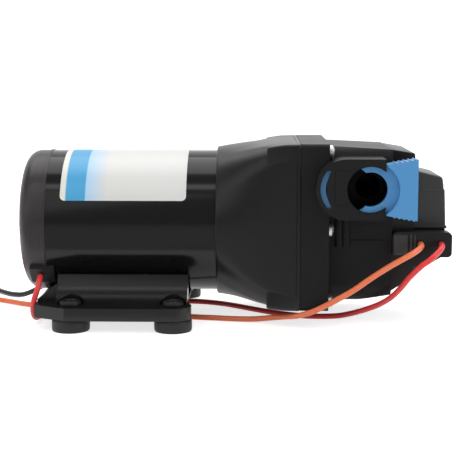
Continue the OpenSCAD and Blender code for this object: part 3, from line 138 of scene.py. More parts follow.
# %% [markdown]
# ## Surface recipes
# Moulded, painted and cast surfaces are never quite even: they have a fine grain, slow patches of more and
# less gloss, and a little dust on top. Each material could have its own noise nodes for that. One shared
# node group makes them once instead, and each material sets its own amounts and keeps its own shader, which
# the export has to find in the material itself.


# %% Shared node group
MOTTLE_SCALE, BUMP_DISTANCE, LYING_FROM = 42.0, 0.0004, 0.55
DUST_COLOR = (0.34, 0.33, 0.31, 1.0)


def math_node(tree, operation, *values, clamp=False):
    """The result of a math node: a value that is a number is set on it, and a socket is linked to it."""
    node = tree.nodes.new("ShaderNodeMath")
    node.operation = operation
    node.use_clamp = clamp
    for socket, value in zip(node.inputs, values):
        if isinstance(value, float):
            socket.default_value = value
        else:
            tree.links.new(value, socket)
    return node.outputs[0]


def grain_group():
    """Fine bump, slow mottling of colour and gloss, and dust that settles on faces looking up."""
    group = bpy.data.node_groups.new("surface_grain", "ShaderNodeTree")
    sockets = (
        ("Color", "NodeSocketColor", "INPUT"), ("Roughness", "NodeSocketFloat", "INPUT"),
        ("Grain", "NodeSocketFloat", "INPUT"), ("Depth", "NodeSocketFloat", "INPUT"),
        ("Mottle", "NodeSocketFloat", "INPUT"), ("Dust", "NodeSocketFloat", "INPUT"),
        ("Color", "NodeSocketColor", "OUTPUT"), ("Roughness", "NodeSocketFloat", "OUTPUT"),
        ("Normal", "NodeSocketVector", "OUTPUT"),
    )
    for label, kind, way in sockets:
        group.interface.new_socket(name=label, in_out=way, socket_type=kind)
    add, link = group.nodes.new, group.links.new
    given, made = add("NodeGroupInput"), add("NodeGroupOutput")
    place, shape = add("ShaderNodeTexCoord"), add("ShaderNodeNewGeometry")
    fine, slow = add("ShaderNodeTexNoise"), add("ShaderNodeTexNoise")
    fine.inputs["Detail"].default_value = 4.0
    slow.inputs["Scale"].default_value = MOTTLE_SCALE
    slow.inputs["Detail"].default_value = 6.0
    slow.inputs["Roughness"].default_value = 0.62
    for noise in (fine, slow):
        link(place.outputs["Object"], noise.inputs["Vector"])
    link(given.outputs["Grain"], fine.inputs["Scale"])
    bump = add("ShaderNodeBump")
    bump.inputs["Distance"].default_value = BUMP_DISTANCE
    link(given.outputs["Depth"], bump.inputs["Strength"])
    link(fine.outputs["Fac"], bump.inputs["Height"])
    link(bump.outputs["Normal"], made.inputs["Normal"])

    centred = math_node(group, "SUBTRACT", slow.outputs["Fac"], 0.5)
    amount = math_node(group, "MULTIPLY", centred, given.outputs["Mottle"])
    tint = add("ShaderNodeVectorMath")
    tint.operation = "SCALE"
    link(given.outputs["Color"], tint.inputs[0])
    link(math_node(group, "ADD", amount, 1.0), tint.inputs["Scale"])

    up = add("ShaderNodeSeparateXYZ")
    link(shape.outputs["Normal"], up.inputs[0])
    lying = add("ShaderNodeMapRange")
    lying.inputs["From Min"].default_value = LYING_FROM
    link(up.outputs["Z"], lying.inputs["Value"])
    settled = math_node(group, "MULTIPLY", lying.outputs["Result"], slow.outputs["Fac"])
    dust = math_node(group, "MULTIPLY", settled, given.outputs["Dust"])
    coat = add("ShaderNodeMix")
    coat.data_type = "RGBA"
    coat.inputs["B"].default_value = DUST_COLOR
    link(dust, coat.inputs["Factor"])
    link(tint.outputs["Vector"], coat.inputs["A"])
    link(coat.outputs["Result"], made.inputs["Color"])

    rough = math_node(group, "MULTIPLY_ADD", amount, 0.5, given.outputs["Roughness"])
    link(math_node(group, "ADD", rough, dust, clamp=True), made.inputs["Roughness"])
    return group


GRAIN = grain_group()
print("nodes in the shared group:", len(GRAIN.nodes))

# %% [markdown]
# ## Materials
# The pump is nearly all black, but the blacks differ: glossy paint on the can, satin paint on the cap, dull
# plastic on the housing and base, and rubber feet. With a plain colour alone they would look the same. Each
# line therefore gives a name, a colour, the roughness, the grains in a metre, the depth of the grain and the
# strength of the mottling, and then what sets that surface apart.


# %% Materials
def surface(name, color, rough, grain, depth, mottle, dust=0.0, metal=0.0, specular=0.5):
    """A material: one Principled shader fed by the shared grain, with its constants on its own sockets."""
    material = bpy.data.materials.new(name)
    material.use_nodes = True
    tree = material.node_tree
    shader = tree.nodes["Principled BSDF"]
    shader.inputs["Metallic"].default_value = metal
    shader.inputs["Specular IOR Level"].default_value = specular
    recipe = tree.nodes.new("ShaderNodeGroup")
    recipe.node_tree = GRAIN
    amounts = {"Roughness": rough, "Grain": grain, "Depth": depth, "Mottle": mottle, "Dust": dust}
    for label, value in amounts.items():
        recipe.inputs[label].default_value = value
    recipe.inputs["Color"].default_value = (*color, 1.0)
    tree.links.new(recipe.outputs["Color"], shader.inputs["Base Color"])
    tree.links.new(recipe.outputs["Roughness"], shader.inputs["Roughness"])
    tree.links.new(recipe.outputs["Normal"], shader.inputs["Normal"])
    material.diffuse_color = (*color, 1.0)
    return material


CAN = surface("can_gloss_black", (0.007, 0.0067, 0.007), 0.15, 900.0, 0.02, 0.12, specular=0.28)
CAP = surface("cap_satin_black", (0.034, 0.0285, 0.0305), 0.3, 2200.0, 0.10, 0.3, specular=0.3)
HOUSING = surface(
    "housing_black_plastic", (0.007, 0.007, 0.0072), 0.3, 3200.0, 0.10, 0.25, dust=0.02, specular=0.32,
)
HEAD = surface("head_black_plastic", (0.0185, 0.0183, 0.0186), 0.34, 3000.0, 0.08, 0.25, specular=0.08)
SWITCH = surface("switch_black_plastic", (0.034, 0.0338, 0.0342), 0.34, 2400.0, 0.06, 0.2, specular=0.5)
BASE = surface(
    "base_black_plastic", (0.007, 0.007, 0.0073), 0.24, 2800.0, 0.06, 0.25, dust=0.02, specular=0.34,
)
RUBBER = surface("black_rubber", (0.010, 0.010, 0.0105), 0.5, 1800.0, 0.12, 0.3, specular=0.35)
STEEL = surface("stainless_steel", (0.8, 0.81, 0.83), 0.4, 1400.0, 0.04, 0.2, metal=1.0)
ALLOY = surface("cast_alloy", (0.55, 0.56, 0.57), 0.42, 1500.0, 0.2, 0.3, metal=1.0)
IRON = surface("sintered_magnet", (0.05, 0.05, 0.055), 0.5, 2000.0, 0.15, 0.3)
SHEET_IRON = surface("core_laminations", (0.2, 0.2, 0.21), 0.4, 2400.0, 0.2, 0.3, metal=0.8)
COPPER = surface("bright_copper", (0.78, 0.36, 0.18), 0.28, 2600.0, 0.15, 0.3, metal=1.0)
BRASS = surface("bright_brass", (0.76, 0.56, 0.24), 0.28, 1800.0, 0.06, 0.2, metal=1.0)
CARD = surface("brown_card", (0.2, 0.1, 0.04), 0.6, 1600.0, 0.2, 0.4)
WHITE = surface("white_plastic", (0.7, 0.69, 0.64), 0.4, 2600.0, 0.08, 0.1)
RED_RUBBER = surface("red_rubber", (0.45, 0.07, 0.04), 0.5, 1800.0, 0.1, 0.2)
BLUE = surface("clip_blue_plastic", (0.085, 0.31, 0.63), 0.3, 2600.0, 0.05, 0.14)
RED = surface("red_sheath", (0.86, 0.05, 0.05), 0.34, 1600.0, 0.05, 0.16)
ORANGE = surface("orange_sheath", (0.97, 0.22, 0.085), 0.34, 1600.0, 0.05, 0.14)
BLACK = surface("black_sheath", (0.012, 0.012, 0.013), 0.36, 1600.0, 0.05, 0.16)

BY_SLOT = {
    "base_plastic": BASE, "foot_rubber": RUBBER, "can_paint": CAN, "cap_paint": CAP, "label_film": WHITE,
    "steel": STEEL, "cast_alloy": ALLOY, "magnet": IRON, "lamination": SHEET_IRON, "copper": COPPER,
    "brass": BRASS, "card": CARD, "housing_plastic": HOUSING, "switch_plastic": SWITCH,
    "white_plastic": WHITE, "black_rubber": RUBBER, "red_rubber": RED_RUBBER, "clip_blue": BLUE,
    "red_plastic": RED_RUBBER, "red_sheath": RED, "orange_sheath": ORANGE, "black_sheath": BLACK,
}
for part in frame["record"]["subparts"]:
    mesh = NODES[part["node"]].data
    mesh.materials.clear()
    mesh.materials.append(BY_SLOT[part["material_slot"]])
print("slots dressed:", len(BY_SLOT))

# %% [markdown]
# ## Port mouths
# Each port is a deep bore for a hose fitting, and almost no light comes out of it in the photograph. A black
# plug would look the same, but it would close a bore that is open on the real pump. The head's plastic is
# darkened instead, near the axis of the ports, by its distance from that axis.

# %% Head plastic
PORT_X, PORT_Z, PORT_R = 119.4, 70.0, 11.05


def recipe_of(material):
    """The node in a material that holds the shared grain."""
    return next(node for node in material.node_tree.nodes if node.type == "GROUP")


def paint_bore_shade(material, axis_x, axis_z, radius, share=0.1, blur=0.0003):
    """Painted shade in a bore: takes most of the colour away from what lies nearer than a radius to an axis
    along Y.
    """
    tree = material.node_tree
    shader = tree.nodes["Principled BSDF"]
    place, flat = tree.nodes.new("ShaderNodeTexCoord"), tree.nodes.new("ShaderNodeVectorMath")
    flat.operation = "MULTIPLY"
    flat.inputs[1].default_value = (1.0, 0.0, 1.0)
    tree.links.new(place.outputs["Object"], flat.inputs[0])
    away = tree.nodes.new("ShaderNodeVectorMath")
    away.operation = "DISTANCE"
    away.inputs[1].default_value = (axis_x, 0.0, axis_z)
    tree.links.new(flat.outputs["Vector"], away.inputs[0])
    kept = tree.nodes.new("ShaderNodeMapRange")
    span = {"From Min": radius, "From Max": radius + blur, "To Min": share, "To Max": 1.0}
    for label, value in span.items():
        kept.inputs[label].default_value = value
    tree.links.new(away.outputs["Value"], kept.inputs["Value"])
    tint = tree.nodes.new("ShaderNodeVectorMath")
    tint.operation = "SCALE"
    tree.links.new(recipe_of(material).outputs["Color"], tint.inputs[0])
    tree.links.new(kept.outputs["Result"], tint.inputs["Scale"])
    tree.links.new(tint.outputs["Vector"], shader.inputs["Base Color"])


# Painted shade in both port bores: the head's colour falls to a tenth within the bore radius of the port
# axis.
paint_bore_shade(HEAD, PORT_X * MM, PORT_Z * MM, PORT_R * MM)
NODES["pump_head"].data.materials[0] = HEAD
print("port mouths darkened within", PORT_R, "mm")

# %% [markdown]
# ## Leads
# Three round leads. The red one runs from the motor to the switch, and the orange and the black one bring
# the supply and end in a small banded coil just out of view. A curve with a bevel would look the same. Here a
# mesh tube follows the route points of the solids, because its length can then be measured along its path.

# %% Route points in millimetres
AXIS_Z = 49.0
EXIT_ANGLE = math.radians(50.0)
EXIT_X, EXIT_R, EXIT_RUN = -42.2, 38.2, 3.0
EXIT_DIR = np.array([0.0, -math.sin(EXIT_ANGLE), -math.cos(EXIT_ANGLE)])
EXIT_NEAR = np.array([EXIT_X, 0.0, AXIS_Z]) + EXIT_R * EXIT_DIR
MIRROR_Y = np.array([1.0, -1.0, 1.0])
EXIT_FAR = EXIT_NEAR * MIRROR_Y
RED_HOLE = np.array([155.8, -34.0, 41.6])
HOLE_STEP = 10.0
ORANGE_HOLE = RED_HOLE - [HOLE_STEP, 0.0, 0.0]
FLANGE_EDGE = np.array([87.0, -40.5, 9.0])
HOLE_DEPTH = 5.0
WIRE_D = 2.8
ORANGE_COIL, BLACK_COIL = (-100.0, 8.0), (-106.0, 50.0)
COIL_TURNS = 3
red_drop = [
    [-0.5, -5.3, -5.9], [-2, -6.4, -10.8], [-3, -5.2, -15.6], [-3.2, -2.2, -19.5], [-3, 2.3, -21.8],
]
red_floor = [
    [-44.4, -20.6, 1.9], [-42, -12, 1.8], [-36.5, -3.5, 2.4], [-28.5, 2.4, 4.6], [-20, 6, 4.8],
    [-10, 9.4, 3.8], [0, 13.2, 2.2], [10, 17, 1.5], [20, 20, 1.5], [30, 20.8, 1.5], [39, 18.9, 1.5],
    [48, 14.4, 1.5], [56, 8, 1.5], [64, 1, 1.5], [72, -5.6, 1.5], [80, -11, 1.5], [89, -14.9, 1.5],
    [98.5, -16, 1.5], [107.5, -17.4, 2.2], [115, -21.2, 4.6], [121.6, -27, 8], [127, -32.4, 11.6],
]
red_rise = [
    [-24.5, -4.6, -25.6], [-20.5, -9, -20.2], [-16.6, -12.2, -14.2], [-11.3, -13.8, -8.5],
    [-7.9, -13.8, -6], [-4.8, -12.4, -3.6], [-2.2, -9.7, -1.7], [-0.6, -6.1, -0.4], [0, -2, 0],
    [0, HOLE_DEPTH, 0],
]
orange_fall = [
    [0, HOLE_DEPTH, 0], [0, -2, 0], [-0.6, -6.1, -0.3], [-2.5, -9.7, -1.2], [-5.4, -12.4, -2.6],
    [-9.5, -14.2, -4.6], [-17, -15.5, -8.6], [-26.1, -15.6, -14.6], [-33.1, -15, -19.8],
    [-40.5, -13.4, -24.6],
]
orange_edge = [[12, -4.5, 4], [5.6, -2.9, 0.6], [-1, 1.1, -2.2], [-7.4, 6.1, -3.8]]
orange_floor = [
    [73, -29.6, 3.6], [64, -25.4, 2], [54.5, -22.8, 1.5], [45, -20.9, 1.5], [35, -19, 1.5],
    [25, -16.6, 1.5], [15, -13, 1.5], [5.5, -8.2, 1.5], [-3.5, -2.8, 1.5], [-12.5, 1.6, 1.5],
    [-22, 3.9, 1.5], [-32, 5, 1.5], [-42, 6, 1.5], [-51.5, 8.2, 1.5], [-60, 12.4, 1.5], [-68, 18, 1.5],
    [-75.5, 22.8, 1.5], [-83.5, 25.4, 1.8], [-91, 26, 2.4],
]
black_drop = [[-0.6, 4.8, -5.2], [-2.8, 6.8, -9.8], [-7.2, 7.2, -14.4], [-13.4, 6.4, -18.8]]
black_floor = [
    [-63.4, 35, 2.2], [-70.6, 37.8, 1.5], [-77, 43.8, 1.5], [-82.4, 51, 1.5], [-87.6, 58.6, 1.5],
    [-93.6, 65.8, 2], [-99, 68, 2.4],
]
print("points on the floor:", len(red_floor) + len(orange_floor) + len(black_floor))


# %% Coils and whole routes
def coil_section(t, step=3.4, outer=18.0, low=2.4):
    """Radius and height after t turns: the coil goes in and out again, one layer up where it turns back."""
    middle = COIL_TURNS / 2
    radius = outer - step * (middle - np.abs(t - middle))
    s = np.clip((t - middle) * 2 + 0.5, 0, 1)
    return radius, low + step * s * s * (3 - 2 * s)


def coil_points(centre, lead=3.0, per_turn=24):
    """A coil's route: its section turned about the centre, with a short straight lead at both ends."""
    t = np.linspace(0, COIL_TURNS, COIL_TURNS * per_turn + 1)
    radius, height = coil_section(t)
    angle = math.pi / 2 + 2 * math.pi * t
    x, y = centre[0] + radius * np.cos(angle), centre[1] + radius * np.sin(angle)
    turn = np.stack([x, y, height], axis=1)
    return np.vstack([turn[:1] + [lead, 0, 0], turn, turn[-1:] - [lead, 0, 0]])


red_points = np.vstack([
    [EXIT_NEAR, EXIT_NEAR + EXIT_RUN * EXIT_DIR], EXIT_NEAR + red_drop, red_floor, RED_HOLE + red_rise,
])
orange_points = np.vstack([
    ORANGE_HOLE + orange_fall, FLANGE_EDGE + orange_edge, orange_floor, coil_points(ORANGE_COIL),
])
black_points = np.vstack([
    [EXIT_FAR, EXIT_FAR + EXIT_RUN * EXIT_DIR * MIRROR_Y], EXIT_FAR + black_drop, black_floor,
    coil_points(BLACK_COIL),
])
print("route points:", len(red_points), len(orange_points), len(black_points))


# %% Bands round the coils
def coil_band(centre, angle=math.radians(215.0), half=1.5, inner=1.45, outer=2.0, sides=48):
    """A flat band round a coil's turns at one angle: each way out, it follows the furthest turn."""
    first = (angle - math.pi / 2) / (2 * math.pi)
    turns = np.column_stack(coil_section(first + np.arange(COIL_TURNS)))
    around = np.linspace(0, 2 * np.pi, sides, endpoint=False)
    ways = np.stack([np.cos(around), np.sin(around)], axis=1)
    furthest = turns[np.argmax(ways @ turns.T, axis=1)]
    rings = []
    for out, side in ((inner, -half), (outer, -half), (outer, half), (inner, half)):
        flat = furthest + out * ways
        x = centre[0] + flat[:, 0] * math.cos(angle) - side * math.sin(angle)
        y = centre[1] + flat[:, 0] * math.sin(angle) + side * math.cos(angle)
        rings.append(np.stack([x, y, flat[:, 1]], axis=1))
    return np.stack(rings, axis=1).reshape(-1, 3), grid_faces(sides, 4, wrap_rows=True, wrap_columns=True)


both_bands = joined([coil_band(centre) for centre in (ORANGE_COIL, BLACK_COIL)])
bands = make_object("coil_bands", *both_bands, HOUSING)
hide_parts("coil_ties")
print("bands have", len(bands.data.polygons), "faces")


# %% Sweep the leads
def catmull(points, steps):
    """A smooth curve through the points: cubics, with a slope of half the step between both neighbours."""
    p = np.asarray(points, float)
    p = np.vstack([2 * p[0] - p[1], p, 2 * p[-1] - p[-2]])
    t = np.linspace(0, 1, steps, endpoint=False)[:, None]
    out = []
    for a, b, c, d in zip(p[:-3], p[1:-2], p[2:-1], p[3:]):
        bend, twist = 2 * a - 5 * b + 4 * c - d, 3 * b - a - 3 * c + d
        out.append(0.5 * (2 * b + (c - a) * t + bend * t**2 + twist * t**3))
    return np.vstack(out + [p[-2:-1]])


def tube(path, radius, sides=14):
    """A tube along a path: circles square to it, each starting where the last one did, without twist."""
    p = np.asarray(path, float)
    ahead = np.gradient(p, axis=0)
    ahead /= np.linalg.norm(ahead, axis=1)[:, None]
    normal = np.cross(ahead[0], [0.3, 0.5, 0.81])
    rings = []
    angle = np.linspace(0, 2 * np.pi, sides, endpoint=False)[:, None]
    for centre, t in zip(p, ahead):
        normal = normal - normal.dot(t) * t
        normal /= np.linalg.norm(normal)
        rings.append(centre + radius * (np.cos(angle) * normal + np.sin(angle) * np.cross(t, normal)))
    return loft(rings)


def lead(name, points, material, nodes, far_end, lay, extra=()):
    """A lead as a smooth round tube through its route points."""
    path = catmull(points, 4)
    shape = tube(path, WIRE_D / 2)
    thing = make_object(name, *shape, material)
    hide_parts(*nodes)


lead("red_lead", red_points, RED, ["red_wire"], "object", "loose")
lead(
    "orange_lead", orange_points, ORANGE, ["orange_wire", "orange_wire_coil"], "bare", "coiled",
    [NODES["wire_ends"], bands],
)
lead("black_lead", black_points, BLACK, ["black_wire", "black_wire_coil"], "bare", "coiled")

# %% [markdown]
# ## Drive housing
# The housing is one moulding, which starts as a ring round the motor and swells into the flange's square. A
# box with a Subdivision Surface modifier could come near it, but would be hard to hold to measured sizes.
# Here each section is part oval, part rounded rectangle, and the rectangle's share grows on the way, so that
# both ends fit what they meet. Ears fill out the four corners beside the flange.

# %% Drive housing
BELL_X0, BELL_X1, EAR_X0 = 45.5, 87.0, 70.5
FLANGE_HALF, FLANGE_TOP, FLANGE_BOTTOM = 40.5, 41.7, 40.0
SKIRT_R, BORE_R, CRANK_R = 37.9, 36.15, 31.0
CRANK_X, STEP_X = 50.2, 49.6
CORNER_RADII, SWELL = [22.0, 11.0, 4.5], 2.5
RING_SIDES = 256


def flare(x, half):
    """Half size of one flat: an arc that leaves the skirt and lands square on the flange."""
    length = BELL_X1 - BELL_X0
    grow = half - SKIRT_R
    radius = (length**2 + grow**2) / (2 * grow)
    return half - radius + math.sqrt(radius**2 - (BELL_X1 - x) ** 2)


def bell_ring(x, shrink=0.0):
    """One section: an oval that turns, share by share, into a rounded rectangle of the same half sizes."""
    angle = np.linspace(0, 2 * np.pi, RING_SIDES, endpoint=False)
    side, rise = np.abs(np.cos(angle)), np.abs(np.sin(angle))
    width = flare(x, FLANGE_HALF)
    level = np.where(np.sin(angle) > 0, flare(x, FLANGE_TOP), flare(x, FLANGE_BOTTOM))
    corner = np.interp(x, [BELL_X0, EAR_X0, BELL_X1], CORNER_RADII)
    in_y, in_z = width - corner, level - corner
    along = in_y * side + in_z * rise
    square = along + np.sqrt(np.maximum(along**2 - in_y**2 - in_z**2 + corner**2, 0.0))
    by_side, by_level = width / np.maximum(side, 1e-9), level / np.maximum(rise, 1e-9)
    square = np.where(by_side * rise <= in_z, by_side, square)
    square = np.where(by_level * side <= in_y, by_level, square)
    oval = 1 / np.sqrt((side / width) ** 2 + (rise / level) ** 2)
    share = 1 - ((BELL_X1 - x) / (BELL_X1 - BELL_X0)) ** SWELL
    reach = oval + share * (square - oval) - shrink
    return np.column_stack([np.full(RING_SIDES, x), reach * np.cos(angle), AXIS_Z + reach * np.sin(angle)])


def round_ring(x, radius):
    """A circle about the motor's axis, with as many points as a section of the housing."""
    angle = np.linspace(0, 2 * np.pi, RING_SIDES, endpoint=False)
    y, z = radius * np.cos(angle), AXIS_Z + radius * np.sin(angle)
    return np.column_stack([np.full(RING_SIDES, x), y, z])


def bell_shell():
    """Outer sections from the skirt to the flange, with a fine groove before the rim, then back inside."""
    stations = [(BELL_X0, 0.5), (BELL_X0 + 0.15, 0.15), (BELL_X0 + 0.5, 0.0)]
    stations += [(x, 0.0) for x in np.linspace(BELL_X0 + 1.5, BELL_X1 - 2.6, 44)]
    stations += [(BELL_X1 - 2.2, 0.0), (BELL_X1 - 2.1, 0.3), (BELL_X1 - 1.8, 0.3), (BELL_X1 - 1.7, 0.0)]
    stations += [(BELL_X1 - 0.45, 0.0), (BELL_X1 - 0.15, 0.12), (BELL_X1, 0.42)]
    rings = [bell_ring(x, shrink) for x, shrink in stations]
    rings += [round_ring(BELL_X1, CRANK_R), round_ring(CRANK_X, CRANK_R)]
    rings += [round_ring(STEP_X, BORE_R), round_ring(BELL_X0, BORE_R)]
    return np.vstack(rings), grid_faces(len(rings), RING_SIDES, wrap_rows=True, wrap_columns=True)


print("housing from", BELL_X0, "to", BELL_X1, "mm along the motor")


# %% Ears and the whole housing
def filleted(corners, radii, steps=6):
    """A polygon's corners, each replaced by an arc of its own radius that touches both sides."""
    c = np.asarray(corners, float)
    out = []
    for i, radius in enumerate(np.broadcast_to(radii, len(c))):
        before, after = c[i - 1] - c[i], c[(i + 1) % len(c)] - c[i]
        before, after = before / np.linalg.norm(before), after / np.linalg.norm(after)
        half = math.acos(np.clip(before.dot(after), -1, 1)) / 2
        middle = (before + after) / np.linalg.norm(before + after)
        centre = c[i] + middle * radius / math.sin(half)
        start, end = c[i] + before * radius / math.tan(half), c[i] + after * radius / math.tan(half)
        for t in np.linspace(0, 1, steps + 1):
            ray = (1 - t) * (start - centre) + t * (end - centre)
            out.append(centre + ray * radius / max(np.linalg.norm(ray), 1e-9) if radius > 0 else c[i])
    return np.array(out)


def inset(outline, distance):
    """An outline moved inwards along the mean of both side normals, until each side has moved that far."""
    side = np.roll(outline, -1, axis=0) - outline
    area = np.sum(outline[:, 0] * np.roll(outline[:, 1], -1) - outline[:, 1] * np.roll(outline[:, 0], -1))
    normal = np.stack([-side[:, 1], side[:, 0]], axis=1) * np.sign(area)
    length = np.linalg.norm(normal, axis=1)
    normal[length > 1e-9] /= length[length > 1e-9][:, None]
    for i in np.flatnonzero(length <= 1e-9):
        normal[i] = normal[i - 1]
    mean = normal + np.roll(normal, 1, axis=0)
    return outline + distance * mean / np.maximum((mean**2).sum(axis=1), 1e-9)[:, None] * 2


def ear(side, level, size=9.0):
    """The corner between two points of the section, filled out square; its two feet sink in a hair."""
    stations = [(EAR_X0, 0.8), (EAR_X0 + 0.1, 0.42), (EAR_X0 + 0.35, 0.14), (EAR_X0 + 0.8, 0.0)]
    stations += [(x, 0.0) for x in np.linspace(EAR_X0 + 2.0, BELL_X1 - 0.6, 10)] + [(BELL_X1 - 0.1, 0.4)]
    rings = []
    for x, shrink in stations:
        quarter = (bell_ring(x)[:, 1:] - [0.0, AXIS_Z]) * [side, level]
        quarter = quarter[(quarter > 0).all(axis=1)]
        quarter = quarter[np.argsort(quarter[:, 1])]
        wide = flare(x, FLANGE_HALF) + np.interp(x, [EAR_X0, BELL_X1], [0.5, 0.0])
        high = flare(x, FLANGE_TOP if level > 0 else FLANGE_BOTTOM)
        high -= np.interp(x, [EAR_X0, EAR_X0 + 8.0], [0.8, 0.1])
        foot_y = np.interp(high - size, quarter[:, 1], quarter[:, 0]) - 0.05
        foot_z = np.interp(size - wide, -quarter[:, 0], quarter[:, 1]) - 0.05
        corners = [[wide - size, high - size], [foot_y, high - size], [wide, high], [wide - size, foot_z]]
        flat = inset(filleted(corners, [0.3, 0.3, 1.5, 0.3]), shrink) * [side, level] + [0.0, AXIS_Z]
        rings.append(np.column_stack([np.full(len(flat), x), flat]))
    return loft(rings)


ears = [ear(side, level) for side in (-1, 1) for level in (-1, 1)]
housing = make_object("housing", *joined([bell_shell(), *ears]), HOUSING, sharp=50.0)
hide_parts("drive_housing")
print("housing faces", len(housing.data.polygons))

# %% [markdown]
# ## Label
# The label is a thin printed film wrapped over the motor. A picture could colour it, but plain bands need
# none and stay sharp at any size: a colour ramp over the film's own map gives a cream border, a blue band and
# a fade to off-white.


# %% Label
LABEL_HALF, LABEL_R = 31.0, 36.2


def label_material():
    """Printed film: a colour ramp along the motor's axis."""
    material = surface("label_print", (0.8, 0.79, 0.74), 0.34, 900.0, 0.03, 0.05)
    tree = material.node_tree
    where = tree.nodes.new("ShaderNodeUVMap")
    where.uv_map = "label_map"
    split = tree.nodes.new("ShaderNodeSeparateXYZ")
    ramp = tree.nodes.new("ShaderNodeValToRGB")
    cream, blue = (0.80, 0.79, 0.73), (0.055, 0.37, 0.68)
    pale, paper = (0.42, 0.66, 0.90), (0.73, 0.73, 0.71)
    stops = [(0.0, cream), (0.042, cream), (0.046, blue), (0.198, blue)]
    stops += [(0.202, pale), (0.37, paper), (1.0, paper)]
    while len(ramp.color_ramp.elements) < len(stops):
        ramp.color_ramp.elements.new(0.5)
    for element, (position, color) in zip(ramp.color_ramp.elements, stops):
        element.position = position
        element.color = (*color, 1.0)
    tree.links.new(where.outputs["UV"], split.inputs[0])
    tree.links.new(split.outputs["X"], ramp.inputs["Fac"])
    tree.links.new(ramp.outputs["Color"], recipe_of(material).inputs["Color"])
    return material


def label_film(half_angle=68.0, corner=2.4, low=36.05, columns=90, rows=120):
    """A sheet on the can: along the axis and round it, with its span drawn in near the rounded corners."""
    x = LABEL_HALF * np.sin(np.linspace(-math.pi / 2, math.pi / 2, columns))
    into = np.clip(np.abs(x) - (LABEL_HALF - corner), 0, corner)
    arc = math.radians(half_angle) * LABEL_R - corner + np.sqrt(np.maximum(corner**2 - into**2, 0.0))
    angle = np.linspace(-1, 1, rows)[None, :] * (arc / LABEL_R)[:, None]
    along = np.repeat(x[:, None], rows, 1)
    sheets = []
    for radius in (LABEL_R, low):
        sheets.append(np.stack([along, radius * np.sin(angle), AXIS_Z + radius * np.cos(angle)], -1))
    front, back = grid_faces(columns, rows), grid_faces(columns, rows, start=columns * rows)
    around = [i * rows for i in range(columns)] + [(columns - 1) * rows + j for j in range(1, rows)]
    around += [i * rows + rows - 1 for i in range(columns - 2, -1, -1)] + list(range(rows - 2, 0, -1))
    below = [k + columns * rows for k in around]
    next_above, next_below = around[1:] + around[:1], below[1:] + below[:1]
    rim = [(a, b, d, c) for a, b, c, d in zip(around, next_above, below, next_below)]
    return np.concatenate(sheets).reshape(-1, 3), front + [face[::-1] for face in back] + rim


label = make_object("label", *label_film(), label_material())
label_map = label.data.uv_layers.new(name="label_map")
corner_numbers = np.empty(len(label.data.loops), np.int32)
label.data.loops.foreach_get("vertex_index", corner_numbers)
film_points = np.empty(3 * len(label.data.vertices), np.float32)
label.data.vertices.foreach_get("co", film_points)
corner_points = film_points.reshape(-1, 3)[corner_numbers].astype(float) / MM
half_sizes = np.array([LABEL_HALF, LABEL_R])
map_points = (corner_points[:, :2] + half_sizes) / (2 * half_sizes)
label_map.data.foreach_set("uv", map_points.ravel())
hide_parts("rating_label")
print("label faces", len(label.data.polygons))

# %% [markdown]
# ## Feet
# Each foot is one ring of rubber: a barrel below the plate, a neck through it and a rounded lip on top. A
# cylinder with a bevel would round all its edges alike. A profile turned about an axis gives each curve its
# own radius, and one ring placed four times makes all the feet.


# %% Feet
def revolve(profile, sides=96):
    """A closed ring: a closed profile of (radius, height) points turned about the third axis."""
    p = np.asarray(profile, float)
    angle = np.linspace(0, 2 * np.pi, sides, endpoint=False)
    rings = [np.stack([p[:, 0] * math.cos(a), p[:, 0] * math.sin(a), p[:, 1]], axis=1) for a in angle]
    return np.vstack(rings), grid_faces(sides, len(p), wrap_rows=True, wrap_columns=True)


FOOT_X, FOOT_Y = 25.0, 43.0
FOOT_PROFILE = [
    (3.0, 0.0), (8.4, 0.0), (8.9, 0.12), (9.15, 0.5), (9.25, 1.4), (9.3, 3.0), (9.25, 4.8), (9.1, 5.6),
    (8.7, 6.05), (8.2, 6.2), (4.3, 6.2), (4.3, 12.4), (4.8, 12.4), (5.1, 12.6), (5.2, 13.1), (5.15, 13.9),
    (4.9, 14.5), (4.4, 14.88), (3.7, 15.0), (3.1, 14.85), (2.75, 14.45), (2.6, 13.9), (2.6, 0.4),
]
foot_points, foot_faces = revolve(FOOT_PROFILE)
feet_places = [(sx * FOOT_X, sy * FOOT_Y, 0.0) for sx in (-1, 1) for sy in (-1, 1)]
feet = make_object("feet", *joined([(foot_points + place, foot_faces) for place in feet_places]), RUBBER)
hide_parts("rubber_feet")
print("feet faces", len(feet.data.polygons))

# %% [markdown]
# ## Switch cover
# The cover of the pressure switch is a lid on a body, with a thin lip round its foot. A cube with a bevel
# would round every edge alike. Here the pieces are soft prisms: an outline with a radius for each corner,
# drawn in towards both ends. The lid is a little smaller, so that the joint is a fine ledge.


# %% Switch cover
def soft_prism(outline, start, end, edge, steps=4):
    """A prism whose two end edges are rounded: insets of the outline that follow a quarter circle."""
    turn = np.linspace(0, math.pi / 2, steps + 1)
    levels = [(edge * (1 - math.sin(a)), start + edge * (1 - math.cos(a))) for a in turn]
    levels += [(inner, start + end - height) for inner, height in reversed(levels)]
    return [
        np.column_stack([inset(outline, inner), np.full(len(outline), height)]) for inner, height in levels
    ]


def prism_along_y(outline, start, end, edge, side=1):
    """A soft prism whose outline lies in X and Z and which runs along Y, or along -Y for a side of -1."""
    return loft([ring[:, [0, 2, 1]] * [1, side, 1] for ring in soft_prism(outline, start, end, edge)])


